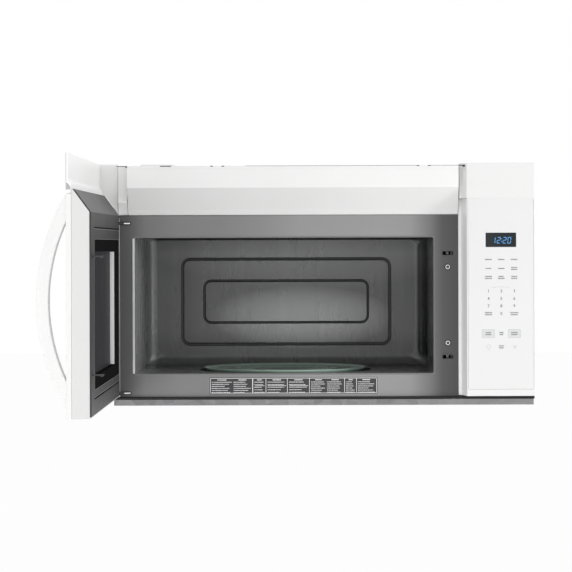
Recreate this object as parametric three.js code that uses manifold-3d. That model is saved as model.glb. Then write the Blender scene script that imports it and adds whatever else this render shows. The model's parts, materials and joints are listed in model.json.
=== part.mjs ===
// Over-the-range microwave oven with its door standing open at a right angle.
// Millimetres. X runs to the right, Y towards the wall, Z up.
// Origin: centre of the wall face, half way up the unit.
import * as THREE from 'three';
import { mergeVertices } from 'three/addons/utils/BufferGeometryUtils.js';
import Module from 'manifold-3d';

const wasm = await Module();
wasm.setup();

// ---------------------------------------------------------------- driving dimensions

// Whole unit
const unitWidth = 760; // across the bottom trim
const unitHeight = 435; // base to the top of the front trims
const bodyDepth = 410; // wall face to the door's outer face
const faceSetback = 40; // door's outer face to the face frame
const casingInset = 1.5; // bottom trim past the casing, each side
const frontInset = 2; // bottom trim past the door and the column, each side
const roofDrop = 3; // front trims above the roof

// Sheet, walls and clearances
const sheet = 1; // pressed steel
const wall = 2.5; // moulded plastic
const seat = 0.3; // between pieces that rest on each other
const doorAir = 1.5; // closed door's inner face to the face frame
const doorGap = 1.9; // closed door to the column

// Base and bottom trim
const baseHeight = 10.5;
const baseFloor = 1.2;
const baseNose = 5; // base in front of the face frame
const trimHeight = 4.8;
const trimDepth = 7.7;
const doorLift = 0.9; // door above the bottom trim
const columnLift = 1.9; // column above the bottom trim

// Face frame and cavity
const ventBand = 92; // top of the unit down to the top of the face frame
const faceReturn = 12; // folded top edge of the face frame
const cavityFloor = 57;
const cavityHead = 40.5; // face frame above the cavity
const cavitySides = [37.85, 44.65]; // from the casing on the left, from the column on the right
const cavityRearGap = 31; // back wall of the cavity to the wall face
const cavityBack = 3; // embossed back wall
const embossDepth = 2;
const embossGroove = 5;
const embossOuter = [66.65, 37.75, 17]; // in from the sides, in from floor and roof, corner radius
const embossInner = [109.4, 79.95, 15];
const recessMargin = 8.5; // turntable recess to the nearer cavity walls
const recessDepth = 15;
const faceHidden = 5.6; // face frame behind the column

// Control column
const columnWidth = 121.6;
const columnFlare = 13.1; // how far its left wall leans out towards the face frame
const bandHeight = 63.3; // top trims, above their seam
const shoulderRise = 20.3; // shoulder of the vent and of the door trim, above the seam
const panelRebate = 1.8;
const panelThickness = 1.5;
const panelMargin = [2.2, 1.7, 12.1]; // left, right, bottom
const displayWidth = 54.8;
const displayHeight = 25.7;
const displaySetIn = [61.2, 74.55]; // its centre from the column's left edge and from the seam
const boardEnds = [22.5, 31.7]; // control board from the column's bottom and from the seam

// Vent housing
const ventReach = 35; // in front of the face frame
const ventInset = 26.5; // its left end from the casing's side
const ventWall = 2;
const louvreWidth = 36;
const louvrePitch = 44;
const louvreDepth = 22;

// Door
const shelfRise = 6.8; // top of the door box above the seam
const flangeThickness = 3.2;
const frontThickness = 8.1;
const stepHeight = 9; // cove behind the thin flange
const coverThickness = 1.3;
const coverLift = 2.4; // inner cover above the door's bottom edge
const coverBorder = [16, 63.3, 26.8, 23.3]; // inner opening: left, right, bottom, top
const glassThickness = 3.3;
const windowMargin = [56, 71.3, 45.5, 45.7]; // outer window: left, right, bottom, top
const windowBorder = 8; // outer glass behind the front panel
const hingeInset = 5.2; // pivot from the door's end and from its inner face
const hingePinRadius = 2.5;
const hingePinReach = 15.5;
const pinAir = 0.3;
const hingeBar = 12;
const cornerChamfer = 2.5;
const armThickness = 2.5;
const hingeSlot = [7.8, 17.2, 5.6]; // start from the pivot, width, height
const hingeEnds = [5.9, 14.3]; // above the door's bottom, below the top of the face frame
const doorOpenDegrees = 90;

// Handle
const handleWidth = 28;
const handleSetIn = 43.5; // its far side from the door's free edge
const handleLift = 13.5; // above the door's bottom
const handleReach = 48.6;
const handleFingerGap = 29;
const handleFoot = 43; // height of each foot

// Latch
const latchInset = 19; // hooks left of the column's foot
const latchEnds = [29.4, 28.9]; // slots from the cavity's floor and from its roof
const latchScrewGap = 24.95; // from a slot to its screw
const latchSlot = [18.5, 6]; // width, height
const hookWidth = 8;
const hookReach = 19; // past the door's inner face
const hookShank = 2.4;
const hookBarb = 1.7; // hangs below the shank and drops behind the catch
const latchTravel = 2;
const springLength = 21;

// Turntable
const trayAir = 8.5; // tray's rim to the recess
const trayThickness = 5;
const rollerRadius = 5.5;
const rollerSetIn = 42.5; // from the tray's rim
const rollerWidth = 6;
const motorRadius = 24.5;
const motorHeight = 22;

// Ventilation
const deckDrop = 13; // top deck below the top of the face frame
const deckOverhang = 41; // top deck past the cavity's right wall
const wheelRadius = 38;
const wheelLength = 76;
const blowerMotorRadius = 32;
const ductWidth = 254; // 10 inch duct
const ductDepth = 83; // 3 1/4 inch duct
const filterWidth = 150;
const filterLength = 267;
const filterThickness = 2.5;
const filterSetIn = 84.65; // its centre from the cavity's side
const filterTravel = 12;
const fanRadius = 54;
const fanAir = 4;

// ---------------------------------------------------------------- places worked out from them

const halfWidth = unitWidth / 2;
const caseHalf = halfWidth - casingInset;
const frontHalf = halfWidth - frontInset;
const caseTop = unitHeight - roofDrop;
const frontY = -bodyDepth;
const faceY = frontY + faceSetback;
const behindFace = faceY + sheet + seat;
const insideRear = -sheet - seat;
const insideCase = caseHalf - sheet - seat;

const trimBottom = baseHeight + seat;
const trimTop = trimBottom + trimHeight;
const doorBottom = trimTop + doorLift;
const columnBottom = trimTop + columnLift;
const seamZ = unitHeight - bandHeight;
const shoulderZ = seamZ + shoulderRise;
const doorShelf = seamZ + shelfRise;
const faceTop = unitHeight - ventBand;

const columnLeft = frontHalf - columnWidth;
const columnFoot = columnLeft - columnFlare;
const doorLeft = -frontHalf;
const doorInnerY = faceY - doorAir;
const hingeX = doorLeft + hingeInset;
const hingeY = doorInnerY - hingeInset;

const cavityLeft = -caseHalf + cavitySides[0];
const cavityRight = columnFoot - cavitySides[1];
const cavityWidth = cavityRight - cavityLeft;
const cavityCentreX = (cavityLeft + cavityRight) / 2;
const cavityRoof = faceTop - cavityHead;
const cavityHeight = cavityRoof - cavityFloor;
const cavityRearY = -cavityRearGap;
const cavityDepth = cavityRearY - faceY;
const cavityMidY = (faceY + cavityRearY) / 2;
const recessFloor = cavityFloor - recessDepth;
const recessRadius = Math.min(cavityWidth, cavityDepth) / 2 - recessMargin;
const trayRadius = recessRadius - trayAir;
const rollerCircle = trayRadius - rollerSetIn;
const bayLeft = cavityRight + sheet + seat;
const deckHeight = faceTop - deckDrop;
const deckTop = deckHeight + sheet;

const latchX = columnFoot - latchInset;
const latchLower = cavityFloor + latchEnds[0];
const latchUpper = cavityRoof - latchEnds[1];
const latchScrewHeights = [latchLower + latchScrewGap, latchUpper - latchScrewGap];
const hingeHeights = [doorBottom + hingeEnds[0], faceTop - hingeEnds[1]];
const handleBottom = doorBottom + handleLift;
const handleTop = seamZ + seat;

const flareRun = faceSetback - seat;

// X of the door's slanted free edge at a given Y, moved in by an inset.
function doorEdge(y, inset = 0) {
  return columnLeft - doorGap - (columnFlare * (y - frontY)) / flareRun - inset;
}

// ---------------------------------------------------------------- geometry helpers

const axisFrames = {
  x: [new THREE.Vector3(0, 1, 0), new THREE.Vector3(0, 0, 1), new THREE.Vector3(1, 0, 0)],
  y: [new THREE.Vector3(1, 0, 0), new THREE.Vector3(0, 0, 1), new THREE.Vector3(0, -1, 0)],
  z: [new THREE.Vector3(1, 0, 0), new THREE.Vector3(0, 1, 0), new THREE.Vector3(0, 0, 1)],
};

// Turns a three.js geometry into a closed solid that can be joined and cut.
function toSolid(geometry, matrix) {
  const bare = geometry.clone();
  bare.deleteAttribute('normal');
  bare.deleteAttribute('uv');
  if (matrix) bare.applyMatrix4(matrix);
  const merged = mergeVertices(bare, 1e-4);
  const source = merged.index.array;
  const triangles = [];
  for (let i = 0; i < source.length; i += 3) {
    const [a, b, c] = [source[i], source[i + 1], source[i + 2]];
    if (a !== b && b !== c && a !== c) triangles.push(a, b, c);
  }
  const mesh = new wasm.Mesh({
    numProp: 3,
    vertProperties: new Float32Array(merged.attributes.position.array),
    triVerts: new Uint32Array(triangles),
  });
  return new wasm.Manifold(mesh);
}

// A block between low and high values along each axis.
function block([x0, x1], [y0, y1], [z0, z1]) {
  const geometry = new THREE.BoxGeometry(x1 - x0, y1 - y0, z1 - z0);
  const centre = new THREE.Matrix4().makeTranslation((x0 + x1) / 2, (y0 + y1) / 2, (z0 + z1) / 2);
  return toSolid(geometry, centre);
}

// An outline extruded along an axis. Its points are (Y, Z), (X, Z) or (X, Y).
function prism(points, axis, [from, to]) {
  const shape = new THREE.Shape(points.map(([u, v]) => new THREE.Vector2(u, v)));
  const geometry = new THREE.ExtrudeGeometry(shape, { depth: to - from, bevelEnabled: false });
  const matrix = new THREE.Matrix4().makeBasis(...axisFrames[axis]);
  const start = { x: [from, 0, 0], y: [0, to, 0], z: [0, 0, from] }[axis];
  matrix.setPosition(...start);
  return toSolid(geometry, matrix);
}

function circle(radius, [u, v], sides = 24) {
  const points = [];
  for (let i = 0; i < sides; i += 1) {
    const angle = ((i + 0.5) / sides) * 2 * Math.PI;
    points.push([u + radius * Math.cos(angle), v + radius * Math.sin(angle)]);
  }
  return points;
}

function rod(radius, axis, range, centre, sides = 24) {
  return prism(circle(radius, centre, sides), axis, range);
}

function pipe(outer, inner, axis, range, centre, sides = 24) {
  const bore = rod(inner, axis, [range[0] - 1, range[1] + 1], centre, sides);
  return rod(outer, axis, range, centre, sides).subtract(bore);
}

// A rectangle with round corners, given by its centre, size and corner radius.
function roundedRect([u, v], width, height, radius, steps = 6) {
  const points = [];
  const corners = [[1, 1, 0], [-1, 1, 0.5], [-1, -1, 1], [1, -1, 1.5]];
  for (const [sideU, sideV, turn] of corners) {
    for (let i = 0; i <= steps; i += 1) {
      const angle = (turn + (0.5 * i) / steps) * Math.PI;
      const cornerU = u + sideU * (width / 2 - radius);
      const cornerV = v + sideV * (height / 2 - radius);
      points.push([cornerU + radius * Math.cos(angle), cornerV + radius * Math.sin(angle)]);
    }
  }
  return points;
}

// A profile of (radius, height) points turned about a vertical line; anticlockwise profile.
function turned(profile, [x, y], sides = 48) {
  const points = profile.map(([r, z]) => new THREE.Vector2(r, z));
  const matrix = new THREE.Matrix4().makeRotationX(Math.PI / 2).setPosition(x, y, 0);
  return toSolid(new THREE.LatheGeometry(points, sides), matrix);
}

// The same, turned about a line along X through (y, z); heights become X.
function turnedAlongX(profile, [y, z], sides = 24) {
  const points = profile.map(([r, x]) => new THREE.Vector2(r, x));
  const matrix = new THREE.Matrix4().makeBasis(axisFrames.x[0], axisFrames.x[2], axisFrames.x[1]);
  const mirrored = new THREE.Matrix4().makeScale(1, 1, -1);
  matrix.multiply(mirrored).setPosition(0, y, z);
  return toSolid(new THREE.LatheGeometry(points, sides), matrix);
}

function joined(solids) {
  return solids.reduce((sum, solid) => sum.add(solid));
}

function around(centre, size) {
  return [centre - size / 2, centre + size / 2];
}

// ---------------------------------------------------------------- materials

function finish(color, roughness, metalness = 0) {
  return new THREE.MeshStandardMaterial({ color, roughness, metalness });
}

const finishes = {
  whitePaint: finish(0xf0f0f0, 0.35),
  whitePlastic: finish(0xf4f4f3, 0.4),
  greyPaint: finish(0x7d7d7d, 0.45),
  cavityPaint: finish(0x4a4a4b, 0.4),
  blackPlastic: finish(0x17181a, 0.5),
  galvanised: finish(0xb4b6b8, 0.35, 0.9),
  brightSteel: finish(0xd0d2d4, 0.25, 1),
  darkGlass: finish(0x15171a, 0.08),
  trayGlass: finish(0x9fb8ac, 0.08),
  displayLens: finish(0x1f262b, 0.15),
  circuitGreen: finish(0x1f5a3a, 0.6),
  copper: finish(0xa8643c, 0.4, 0.8),
  mica: finish(0xb9ab8f, 0.7),
  charcoal: finish(0x232323, 0.95),
  filterMesh: finish(0xaeb2b5, 0.4, 0.9),
  frosted: finish(0xe6ece9, 0.3),
};

// ---------------------------------------------------------------- casing

function rearPanel() {
  const hookSlotWidth = 32;
  const hookSlotHeight = 6;
  const hookSlotZ = 30;
  let panel = block([-caseHalf, caseHalf], [-sheet, 0], [0, caseTop]);
  for (const share of [-0.8, -0.27, 0.27, 0.8]) {
    const slotX = around(share * caseHalf, hookSlotWidth);
    panel = panel.subtract(block(slotX, [-sheet - 1, 1], around(hookSlotZ, hookSlotHeight)));
  }
  return panel;
}

const ductRearGap = 27;
const ductY = [-ductRearGap - ductDepth, -ductRearGap];
const cordHole = [halfWidth - 50, -45];
const cordHoleRadius = 13;
const boltSetIn = [78.5, 40]; // from the casing's side and from the face frame
const boltHoleRadius = 3.5;
const padSize = 60; // pressed pads that meet the cabinet over the unit, flush with the front trims
const padCentres = [-1, 1].map((side) => [side * (caseHalf - boltSetIn[0]), faceY + boltSetIn[1]]);

function roofPad([x, y]) {
  const top = block(around(x, padSize), around(y, padSize), [caseTop - sheet, unitHeight]);
  const inner = padSize - 2 * sheet;
  return top.subtract(block(around(x, inner), around(y, inner), [caseTop - sheet - 1, unitHeight - sheet]));
}

function roofOpening([x, y]) {
  const inner = padSize - 2 * sheet;
  return block(around(x, inner), around(y, inner), [caseTop - sheet - 1, caseTop + 1]);
}

function outerCase() {
  const low = baseHeight + seat;
  const depth = [behindFace, insideRear];
  const left = block([-caseHalf, -caseHalf + sheet], depth, [low, caseTop]);
  const right = block([caseHalf - sheet, caseHalf], depth, [low, caseTop]);
  const roof = block([-caseHalf, caseHalf], depth, [caseTop - sheet, caseTop]);
  const returnLow = faceTop + 2 * seat;
  const returnRight = ventLeft - seat;
  const flange = block([-caseHalf, returnRight], [faceY, faceY + sheet], [returnLow, caseTop]);
  const foldSide = block([-caseHalf, -caseHalf + sheet], [faceY, behindFace + 1], [returnLow, caseTop]);
  const foldRoof = block([-caseHalf, returnRight], [faceY, behindFace + 1], [caseTop - sheet, caseTop]);
  const duct = block(around(0, ductWidth), ductY, [caseTop - 5, caseTop + 5]);
  const cord = rod(cordHoleRadius, 'z', [caseTop - 5, caseTop + 5], cordHole);
  const bolts = padCentres.map((centre) => rod(boltHoleRadius, 'z', [caseTop - 5, caseTop + 5], centre, 12));
  const shell = joined([left, right, roof, flange, foldSide, foldRoof])
    .subtract(joined([duct, cord, ...padCentres.map(roofOpening)]));
  return joined([shell, ...padCentres.map(roofPad)]).subtract(joined(bolts));
}

const filterCentres = [cavityLeft + filterSetIn, cavityRight - filterSetIn];
const filterFront = faceY + 40;
const filterLedge = 8;
const lampOpening = { x: around(cavityCentreX - 4, 93), y: [faceY + 28, faceY + 82] };

function basePlate() {
  const front = faceY - baseNose;
  const outer = block([-caseHalf, caseHalf], [front, insideRear], [0, baseHeight]);
  const hollowX = [-caseHalf + baseFloor, caseHalf - baseFloor];
  const hollowY = [front + baseFloor, insideRear - baseFloor];
  let plate = outer.subtract(block(hollowX, hollowY, [baseFloor, baseHeight + 1]));
  for (const centre of filterCentres) {
    const cutX = around(centre, filterWidth - 2 * filterLedge);
    const cutY = [filterFront + filterLedge - 3, filterFront + filterLength - filterTravel - filterLedge];
    plate = plate.subtract(block(cutX, cutY, [-1, baseFloor + 1]));
  }
  plate = plate.subtract(block(lampOpening.x, lampOpening.y, [-1, baseFloor + 1]));
  const inletCount = 8;
  const inletPitch = 14;
  const inletLength = 60;
  const inletY = around(faceY + 180, inletLength);
  for (let i = 0; i < inletCount; i += 1) {
    const x = bayLeft + 40 + i * inletPitch;
    plate = plate.subtract(block([x, x + inletPitch / 2], inletY, [-1, baseFloor + 1]));
  }
  return plate;
}

function bottomTrim() {
  const rear = faceY - seat;
  const front = rear - trimDepth;
  const round = 1.6;
  const outline = [
    [rear, trimBottom],
    [rear, trimTop],
    [front + round, trimTop],
    [front + 0.3 * round, trimTop - 0.3 * round],
    [front, trimTop - round],
    [front, trimBottom + round],
    [front + 0.3 * round, trimBottom + 0.3 * round],
    [front + round, trimBottom],
  ];
  return prism(outline, 'x', [-halfWidth, halfWidth]);
}

function faceFrame() {
  const right = columnLeft + faceHidden;
  const plateDepth = [faceY, faceY + sheet];
  const through = [faceY - 5, faceY + 5];
  const top = block(
    [-insideCase, right],
    [faceY, faceY + sheet + faceReturn],
    [faceTop - sheet, faceTop],
  );
  let frame = block([-caseHalf, right], plateDepth, [trimBottom, faceTop]).add(top);
  const openingCentre = [cavityCentreX, cavityFloor + cavityHeight / 2];
  const opening = roundedRect(openingCentre, cavityWidth, cavityHeight, 4, 3);
  frame = frame.subtract(prism(opening, 'y', through));
  for (const z of [latchUpper, latchLower]) {
    frame = frame.subtract(block(around(latchX, latchSlot[0]), through, around(z, latchSlot[1])));
  }
  for (const z of latchScrewHeights) {
    frame = frame.subtract(rod(screwShank + seat, 'y', through, [latchX, z], 12));
  }
  for (const z of hingeHeights) {
    const slotX = [hingeX + hingeSlot[0], hingeX + hingeSlot[0] + hingeSlot[1]];
    frame = frame.subtract(block(slotX, through, around(z, hingeSlot[2])));
  }
  return frame;
}

const guideCentre = [cavityMidY - 24, cavityFloor + 161]; // Y and Z of the waveguide
const guideSize = [150, 90, 40]; // along Y, along Z, out from the cavity
const guidePort = [75, 36];
const lampCentre = [cavityRearY - 64, cavityRoof - 32];
const lampHoleRadius = 11;

function cavityLiner() {
  const outerX = [cavityLeft - sheet, cavityRight + sheet];
  const outerZ = [cavityFloor - sheet, cavityRoof + sheet];
  const shell = block(outerX, [behindFace, cavityRearY + cavityBack], outerZ);
  const hollow = block([cavityLeft, cavityRight], [behindFace - 1, cavityRearY], [cavityFloor, cavityRoof]);
  const centre = [cavityCentreX, cavityMidY];
  const bowl = rod(recessRadius + sheet, 'z', [recessFloor - sheet, cavityFloor - sheet], centre, 48);
  const well = rod(recessRadius, 'z', [recessFloor, cavityFloor + 1], centre, 48);
  let liner = shell.add(bowl).subtract(hollow).subtract(well);
  const middle = [cavityCentreX, (cavityFloor + cavityRoof) / 2];
  for (const [sideGap, endGap, radius] of [embossOuter, embossInner]) {
    const width = cavityWidth - 2 * sideGap;
    const height = cavityHeight - 2 * endGap;
    const depth = [cavityRearY - 1, cavityRearY + embossDepth];
    const outer = prism(roundedRect(middle, width, height, radius, 4), 'y', depth);
    const narrow = 2 * embossGroove;
    const core = roundedRect(middle, width - narrow, height - narrow, radius - embossGroove, 4);
    liner = liner.subtract(outer.subtract(prism(core, 'y', [depth[0] - 1, depth[1] + 1])));
  }
  const rightWall = [cavityRight - 1, cavityRight + sheet + 1];
  const port = block(rightWall, around(guideCentre[0], guidePort[0]), around(guideCentre[1], guidePort[1]));
  const lampHole = rod(lampHoleRadius, 'x', rightWall, lampCentre, 16);
  const shaftHole = rod(9, 'z', [recessFloor - sheet - 1, recessFloor + 1], centre, 16);
  return liner.subtract(port).subtract(lampHole).subtract(shaftHole);
}

const deckFront = faceY + sheet + faceReturn + seat;
const deckRight = cavityRight + deckOverhang;

function topDeck() {
  const plate = block([-insideCase, deckRight], [deckFront, insideRear], [deckHeight, deckTop]);
  const frontFold = block([-insideCase, deckRight], [deckFront, deckFront + sheet], [deckHeight, faceTop - 1]);
  const leg = block(
    [cavityRight - 1, cavityRight],
    [deckFront, cavityRearY],
    [cavityRoof + sheet + seat, deckHeight],
  );
  return joined([plate, frontFold, leg]);
}

// ---------------------------------------------------------------- vent

const ventLeft = -caseHalf + ventInset;
const ventBottom = faceTop + 2 * seat;
const ventTop = caseTop - 1;
const ventFront = faceY - ventReach;
const ventRear = faceY - seat;
const ventRight = columnFoot - 2 * seat;
const slopeRun = (ventRear - ventFront) / (shoulderZ - ventBottom); // Y lost for each mm of Z
const ventNotches = [ventLeft + 162, ventRight - 62.7];

function ventHousing() {
  const outline = [
    [ventRear, ventBottom],
    [ventRear, ventTop],
    [ventFront, ventTop],
    [ventFront, shoulderZ],
  ];
  const slant = ventWall * Math.hypot(1, 1 / slopeRun);
  const hollow = [
    [ventRear + 1, ventBottom + slant - 1 / slopeRun],
    [ventRear + 1, ventTop - ventWall],
    [ventFront + ventWall, ventTop - ventWall],
    [ventFront + ventWall, shoulderZ + slant - ventWall / slopeRun],
  ];
  const inside = prism(hollow, 'x', [ventLeft + ventWall, ventRight - ventWall]);
  let housing = prism(outline, 'x', [ventLeft, ventRight]).subtract(inside);
  const length = ventRight - ventLeft - 4 * ventWall;
  const count = Math.floor((length + louvrePitch - louvreWidth) / louvrePitch);
  const first = (ventLeft + ventRight) / 2 - ((count - 1) * louvrePitch) / 2;
  const slotY = around((ventFront + ventRear) / 2, louvreDepth);
  for (let i = 0; i < count; i += 1) {
    const slotX = around(first + i * louvrePitch, louvreWidth);
    housing = housing.subtract(block(slotX, slotY, [ventTop - ventWall - 1, ventTop + 1]));
  }
  const notchRadius = 47;
  const notchDrop = 1.8;
  for (const x of ventNotches) {
    const centre = [x, ventTop - notchDrop + notchRadius];
    const notch = rod(notchRadius, 'y', [ventFront - 1, ventFront + 5], centre, 60);
    housing = housing.subtract(notch);
  }
  return housing;
}

function charcoalFilter() {
  const width = 260;
  const height = 74;
  const thickness = 18;
  const x = around(cavityCentreX, width);
  const y = [deckFront + sheet + seat, deckFront + sheet + seat + thickness];
  const z = [deckTop + seat, deckTop + seat + height];
  const frame = block(x, y, z);
  const border = 5;
  const dish = 2;
  const faceX = [x[0] + border, x[1] - border];
  const faceZ = [z[0] + border, z[1] - border];
  return frame
    .subtract(block(faceX, [y[0] - 1, y[0] + dish], faceZ))
    .subtract(block(faceX, [y[1] - dish, y[1] + 1], faceZ));
}

// ---------------------------------------------------------------- control column

// Plan outline of the column; its left wall leans out towards the face frame.
function columnOutline(inset, rearY) {
  const slide = inset * Math.hypot(1, columnFlare / flareRun);
  const lean = columnFlare / flareRun;
  const leftAt = (y) => columnLeft - (y - frontY) * lean + slide;
  return [
    [leftAt(rearY), rearY],
    [leftAt(frontY + inset), frontY + inset],
    [frontHalf - inset, frontY + inset],
    [frontHalf - inset, rearY],
  ];
}

const columnWall = 3.5;
const panelX = [columnLeft + panelMargin[0], frontHalf - panelMargin[1]];
const panelZ = [columnBottom + panelMargin[2], seamZ - seat];
const displayCentre = [columnLeft + displaySetIn[0], seamZ - displaySetIn[1]];
const displayX = around(displayCentre[0], displayWidth);
const displayZ = around(displayCentre[1], displayHeight);
const boardFront = frontY + 8;
const boardThickness = 1.6;
const boardX = [columnLeft + 12, frontHalf - 12];
const boardZ = [columnBottom + boardEnds[0], seamZ - boardEnds[1]];

function controlFrame() {
  const z = [columnBottom, seamZ - seat];
  const body = prism(columnOutline(0, ventRear), 'z', z);
  const hollow = prism(columnOutline(columnWall, ventRear + 1), 'z', [z[0] + wall, z[1] - wall]);
  const rebate = block(panelX, [frontY - 1, frontY + panelRebate], [panelZ[0], seamZ + 1]);
  const display = block(displayX, [frontY - 1, frontY + columnWall + 1], displayZ);
  const toeNotch = block([columnFoot - 1, columnLeft + wall], [frontY + columnWall, ventRear + 1],
    [z[0] - 1, z[0] + 1.4 * wall]);
  let frame = body.subtract(hollow).subtract(rebate).subtract(display).subtract(toeNotch);
  const postInset = 5;
  for (const x of [boardX[0] + postInset, boardX[1] - postInset]) {
    for (const zPost of [boardZ[0] + postInset, boardZ[1] - postInset]) {
      const post = [frontY + columnWall - 1, boardFront - seat];
      frame = frame.add(rod(3, 'y', post, [x, zPost], 12));
    }
  }
  return frame;
}

function controlTopTrim() {
  const body = prism(columnOutline(0, ventRear), 'z', [seamZ, unitHeight]);
  const hollow = prism(columnOutline(wall, ventRear + 1), 'z', [seamZ - 1, unitHeight - wall]);
  return body.subtract(hollow);
}

function touchPanel() {
  const rear = frontY + panelRebate - seat;
  const x = [panelX[0] + seat, panelX[1] - seat];
  const z = [panelZ[0] + seat, panelZ[1] - seat];
  const display = block(displayX, [frontY - 1, rear + 1], displayZ);
  return block(x, [rear - panelThickness, rear], z).subtract(display);
}

function displayWindow() {
  const x = [displayX[0] + seat, displayX[1] - seat];
  const z = [displayZ[0] + seat, displayZ[1] - seat];
  return block(x, [frontY + 0.2, frontY + 5.5], z);
}

function controlBoard() {
  const rear = boardFront + boardThickness;
  const board = block(boardX, [boardFront, rear], boardZ);
  const moduleX = around(displayCentre[0], displayWidth - 4);
  const moduleZ = around(displayCentre[1], displayHeight - 4);
  const displayModule = block(moduleX, [frontY + 5.5 + seat, boardFront], moduleZ);
  const relays = [0, 1, 2].map((i) => {
    const x = boardX[0] + 10 + i * 28;
    return block([x, x + 20], [rear, rear + 16], [60, 88]);
  });
  const transformer = block([boardX[0] + 20, boardX[0] + 60], [rear, rear + 24], [120, 152]);
  return joined([board, displayModule, ...relays, transformer]);
}

// ---------------------------------------------------------------- door, drawn closed

const frontRearY = frontY + frontThickness;
const boxFrontY = frontRearY + seat;
const slopeFoot = faceTop - 0.5;
const slantFactor = Math.hypot(1, slopeRun);
const coverCut = [
  doorLeft + coverBorder[0],
  columnFoot - coverBorder[1],
  doorBottom + coverBorder[2],
  slopeFoot - coverBorder[3],
];
const windowCut = [
  doorLeft + windowMargin[0],
  columnFoot - windowMargin[1],
  doorBottom + windowMargin[2],
  seamZ - windowMargin[3],
];
const boxInset = coverThickness + seat;

// Y of the door's sloping top face at height z, moved into the door by an inset.
function slopeY(z, inset) {
  return doorInnerY - (z - slopeFoot) * slopeRun - inset * slantFactor;
}

// Height at which that face, moved in by an inset, reaches a given Y.
function slopeHeight(y, inset) {
  return slopeFoot + (doorInnerY - inset * slantFactor - y) / slopeRun;
}

// Plan outline of the door between two depths, moved in by an inset at its two ends.
function doorPlan(fromY, toY, inset) {
  return [
    [doorLeft + inset, fromY],
    [doorEdge(fromY, inset), fromY],
    [doorEdge(toY, inset), toY],
    [doorLeft + inset, toY],
  ];
}

function doorFront() {
  const body = prism(doorPlan(frontY, frontRearY, 0), 'z', [doorBottom, seamZ - seat]);
  const hollow = prism(doorPlan(frontY + wall, frontRearY + 1, wall), 'z',
    [doorBottom + wall, seamZ - seat - wall]);
  const [left, right, bottom, top] = windowCut;
  const centre = [(left + right) / 2, (bottom + top) / 2];
  const opening = roundedRect(centre, right - left, top - bottom, 10, 4);
  let front = body.subtract(hollow).subtract(prism(opening, 'y', [frontY - 1, frontY + wall + 1]));
  for (const z of handleScrewHeights) {
    const hole = [frontY - 1, frontY + wall + 1];
    front = front.subtract(rod(screwShank + seat, 'y', hole, [handleX, z], 12));
  }
  return front;
}

function doorTrim() {
  const inner = frontY + flangeThickness;
  const stepSteps = 4;
  const outline = [[frontY, seamZ], [frontY, unitHeight], [inner, unitHeight]];
  for (let i = 0; i <= stepSteps; i += 1) {
    const angle = (0.5 * Math.PI * i) / stepSteps;
    const y = inner + (frontRearY - inner) * Math.sin(angle);
    const z = shoulderZ - stepHeight + stepHeight * Math.cos(angle);
    outline.push([y, z]);
  }
  outline.push([frontRearY, seamZ]);
  const band = prism(outline, 'x', [doorLeft, columnLeft]);
  const plan = prism(doorPlan(frontY - 1, frontRearY + 1, 0), 'z', [seamZ - 1, unitHeight + 1]);
  const endRear = doorInnerY - 3;
  const endOutline = [
    [inner - 1, unitHeight],
    [endRear, unitHeight],
    [endRear, slopeHeight(endRear, -seat)],
    [slopeY(doorShelf + 2 * seat, -seat), doorShelf + 2 * seat],
    [inner - 1, doorShelf + 2 * seat],
  ];
  const endWall = prism(endOutline, 'x', [doorLeft, doorLeft + wall]);
  return band.intersect(plan).add(endWall);
}

function doorWindow() {
  const [left, right, bottom, top] = windowCut;
  const x = [left - windowBorder, right + windowBorder];
  const z = [bottom - windowBorder, top + windowBorder];
  const y = [frontY + wall + seat, frontY + wall + seat + 3];
  return block(x, y, z);
}

const flangeY = doorInnerY - 10.5;

function doorBox() {
  const innerY = doorInnerY - boxInset;
  const outline = [
    [boxFrontY, doorBottom],
    [innerY, doorBottom],
    [innerY, slopeHeight(innerY, boxInset)],
    [slopeY(doorShelf, boxInset), doorShelf],
    [boxFrontY, doorShelf],
  ];
  const deep = boxInset + wall;
  const openY = innerY + 1;
  const hollow = [
    [boxFrontY - 1, doorBottom + wall],
    [openY, doorBottom + wall],
    [openY, slopeHeight(openY, deep)],
    [slopeY(doorShelf - wall, deep), doorShelf - wall],
    [boxFrontY - 1, doorShelf - wall],
  ];
  const tall = [doorBottom - 1, doorShelf + 1];
  const shell = prism(outline, 'x', [doorLeft, columnLeft])
    .intersect(prism(doorPlan(boxFrontY - 1, innerY + 1, 0), 'z', tall));
  const inside = prism(hollow, 'x', [doorLeft, columnLeft])
    .intersect(prism(doorPlan(boxFrontY - 2, openY + 1, wall), 'z', tall));
  const [left, right, bottom, top] = coverCut;
  const web = prism(doorPlan(flangeY - 2, flangeY, 1), 'z', [doorBottom + 1, slopeFoot - 4])
    .subtract(block([left + 32, right - 15], [flangeY - 3, flangeY + 1], [bottom + 19, top - 19]));
  const barTop = slopeHeight(doorInnerY, boxInset) - 1;
  const barX = [doorLeft, doorLeft + hingeBar];
  const bar = block(barX, [flangeY - 2, doorInnerY], [doorBottom, barTop]);
  const springStop = block(around(latchX, 16), [flangeY - 1, doorInnerY - boxInset - 2], stopZ);
  let box = joined([shell.subtract(inside), web, bar, springStop]);
  const corner = [
    [doorLeft - 1, doorInnerY + 1],
    [doorLeft - 1, doorInnerY - cornerChamfer - 1],
    [doorLeft + cornerChamfer + 1, doorInnerY + 1],
  ];
  box = box.subtract(prism(corner, 'z', tall));
  for (const [index, z] of hingeHeights.entries()) {
    const pocketX = [doorLeft - 1, hingeX + hingeSlot[0] + hingeSlot[1] + 5];
    const pocketY = [hingeY - 6.8, doorInnerY + 1];
    box = box.subtract(block(pocketX, pocketY, around(z, pocketHeight)));
    const reach = hingePinReach + seat;
    const bore = index === 0 ? [z, z + reach] : [z - reach, z];
    box = box.subtract(rod(hingePinRadius + pinAir, 'z', bore, [hingeX, hingeY], 16));
  }
  return box;
}

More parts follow.
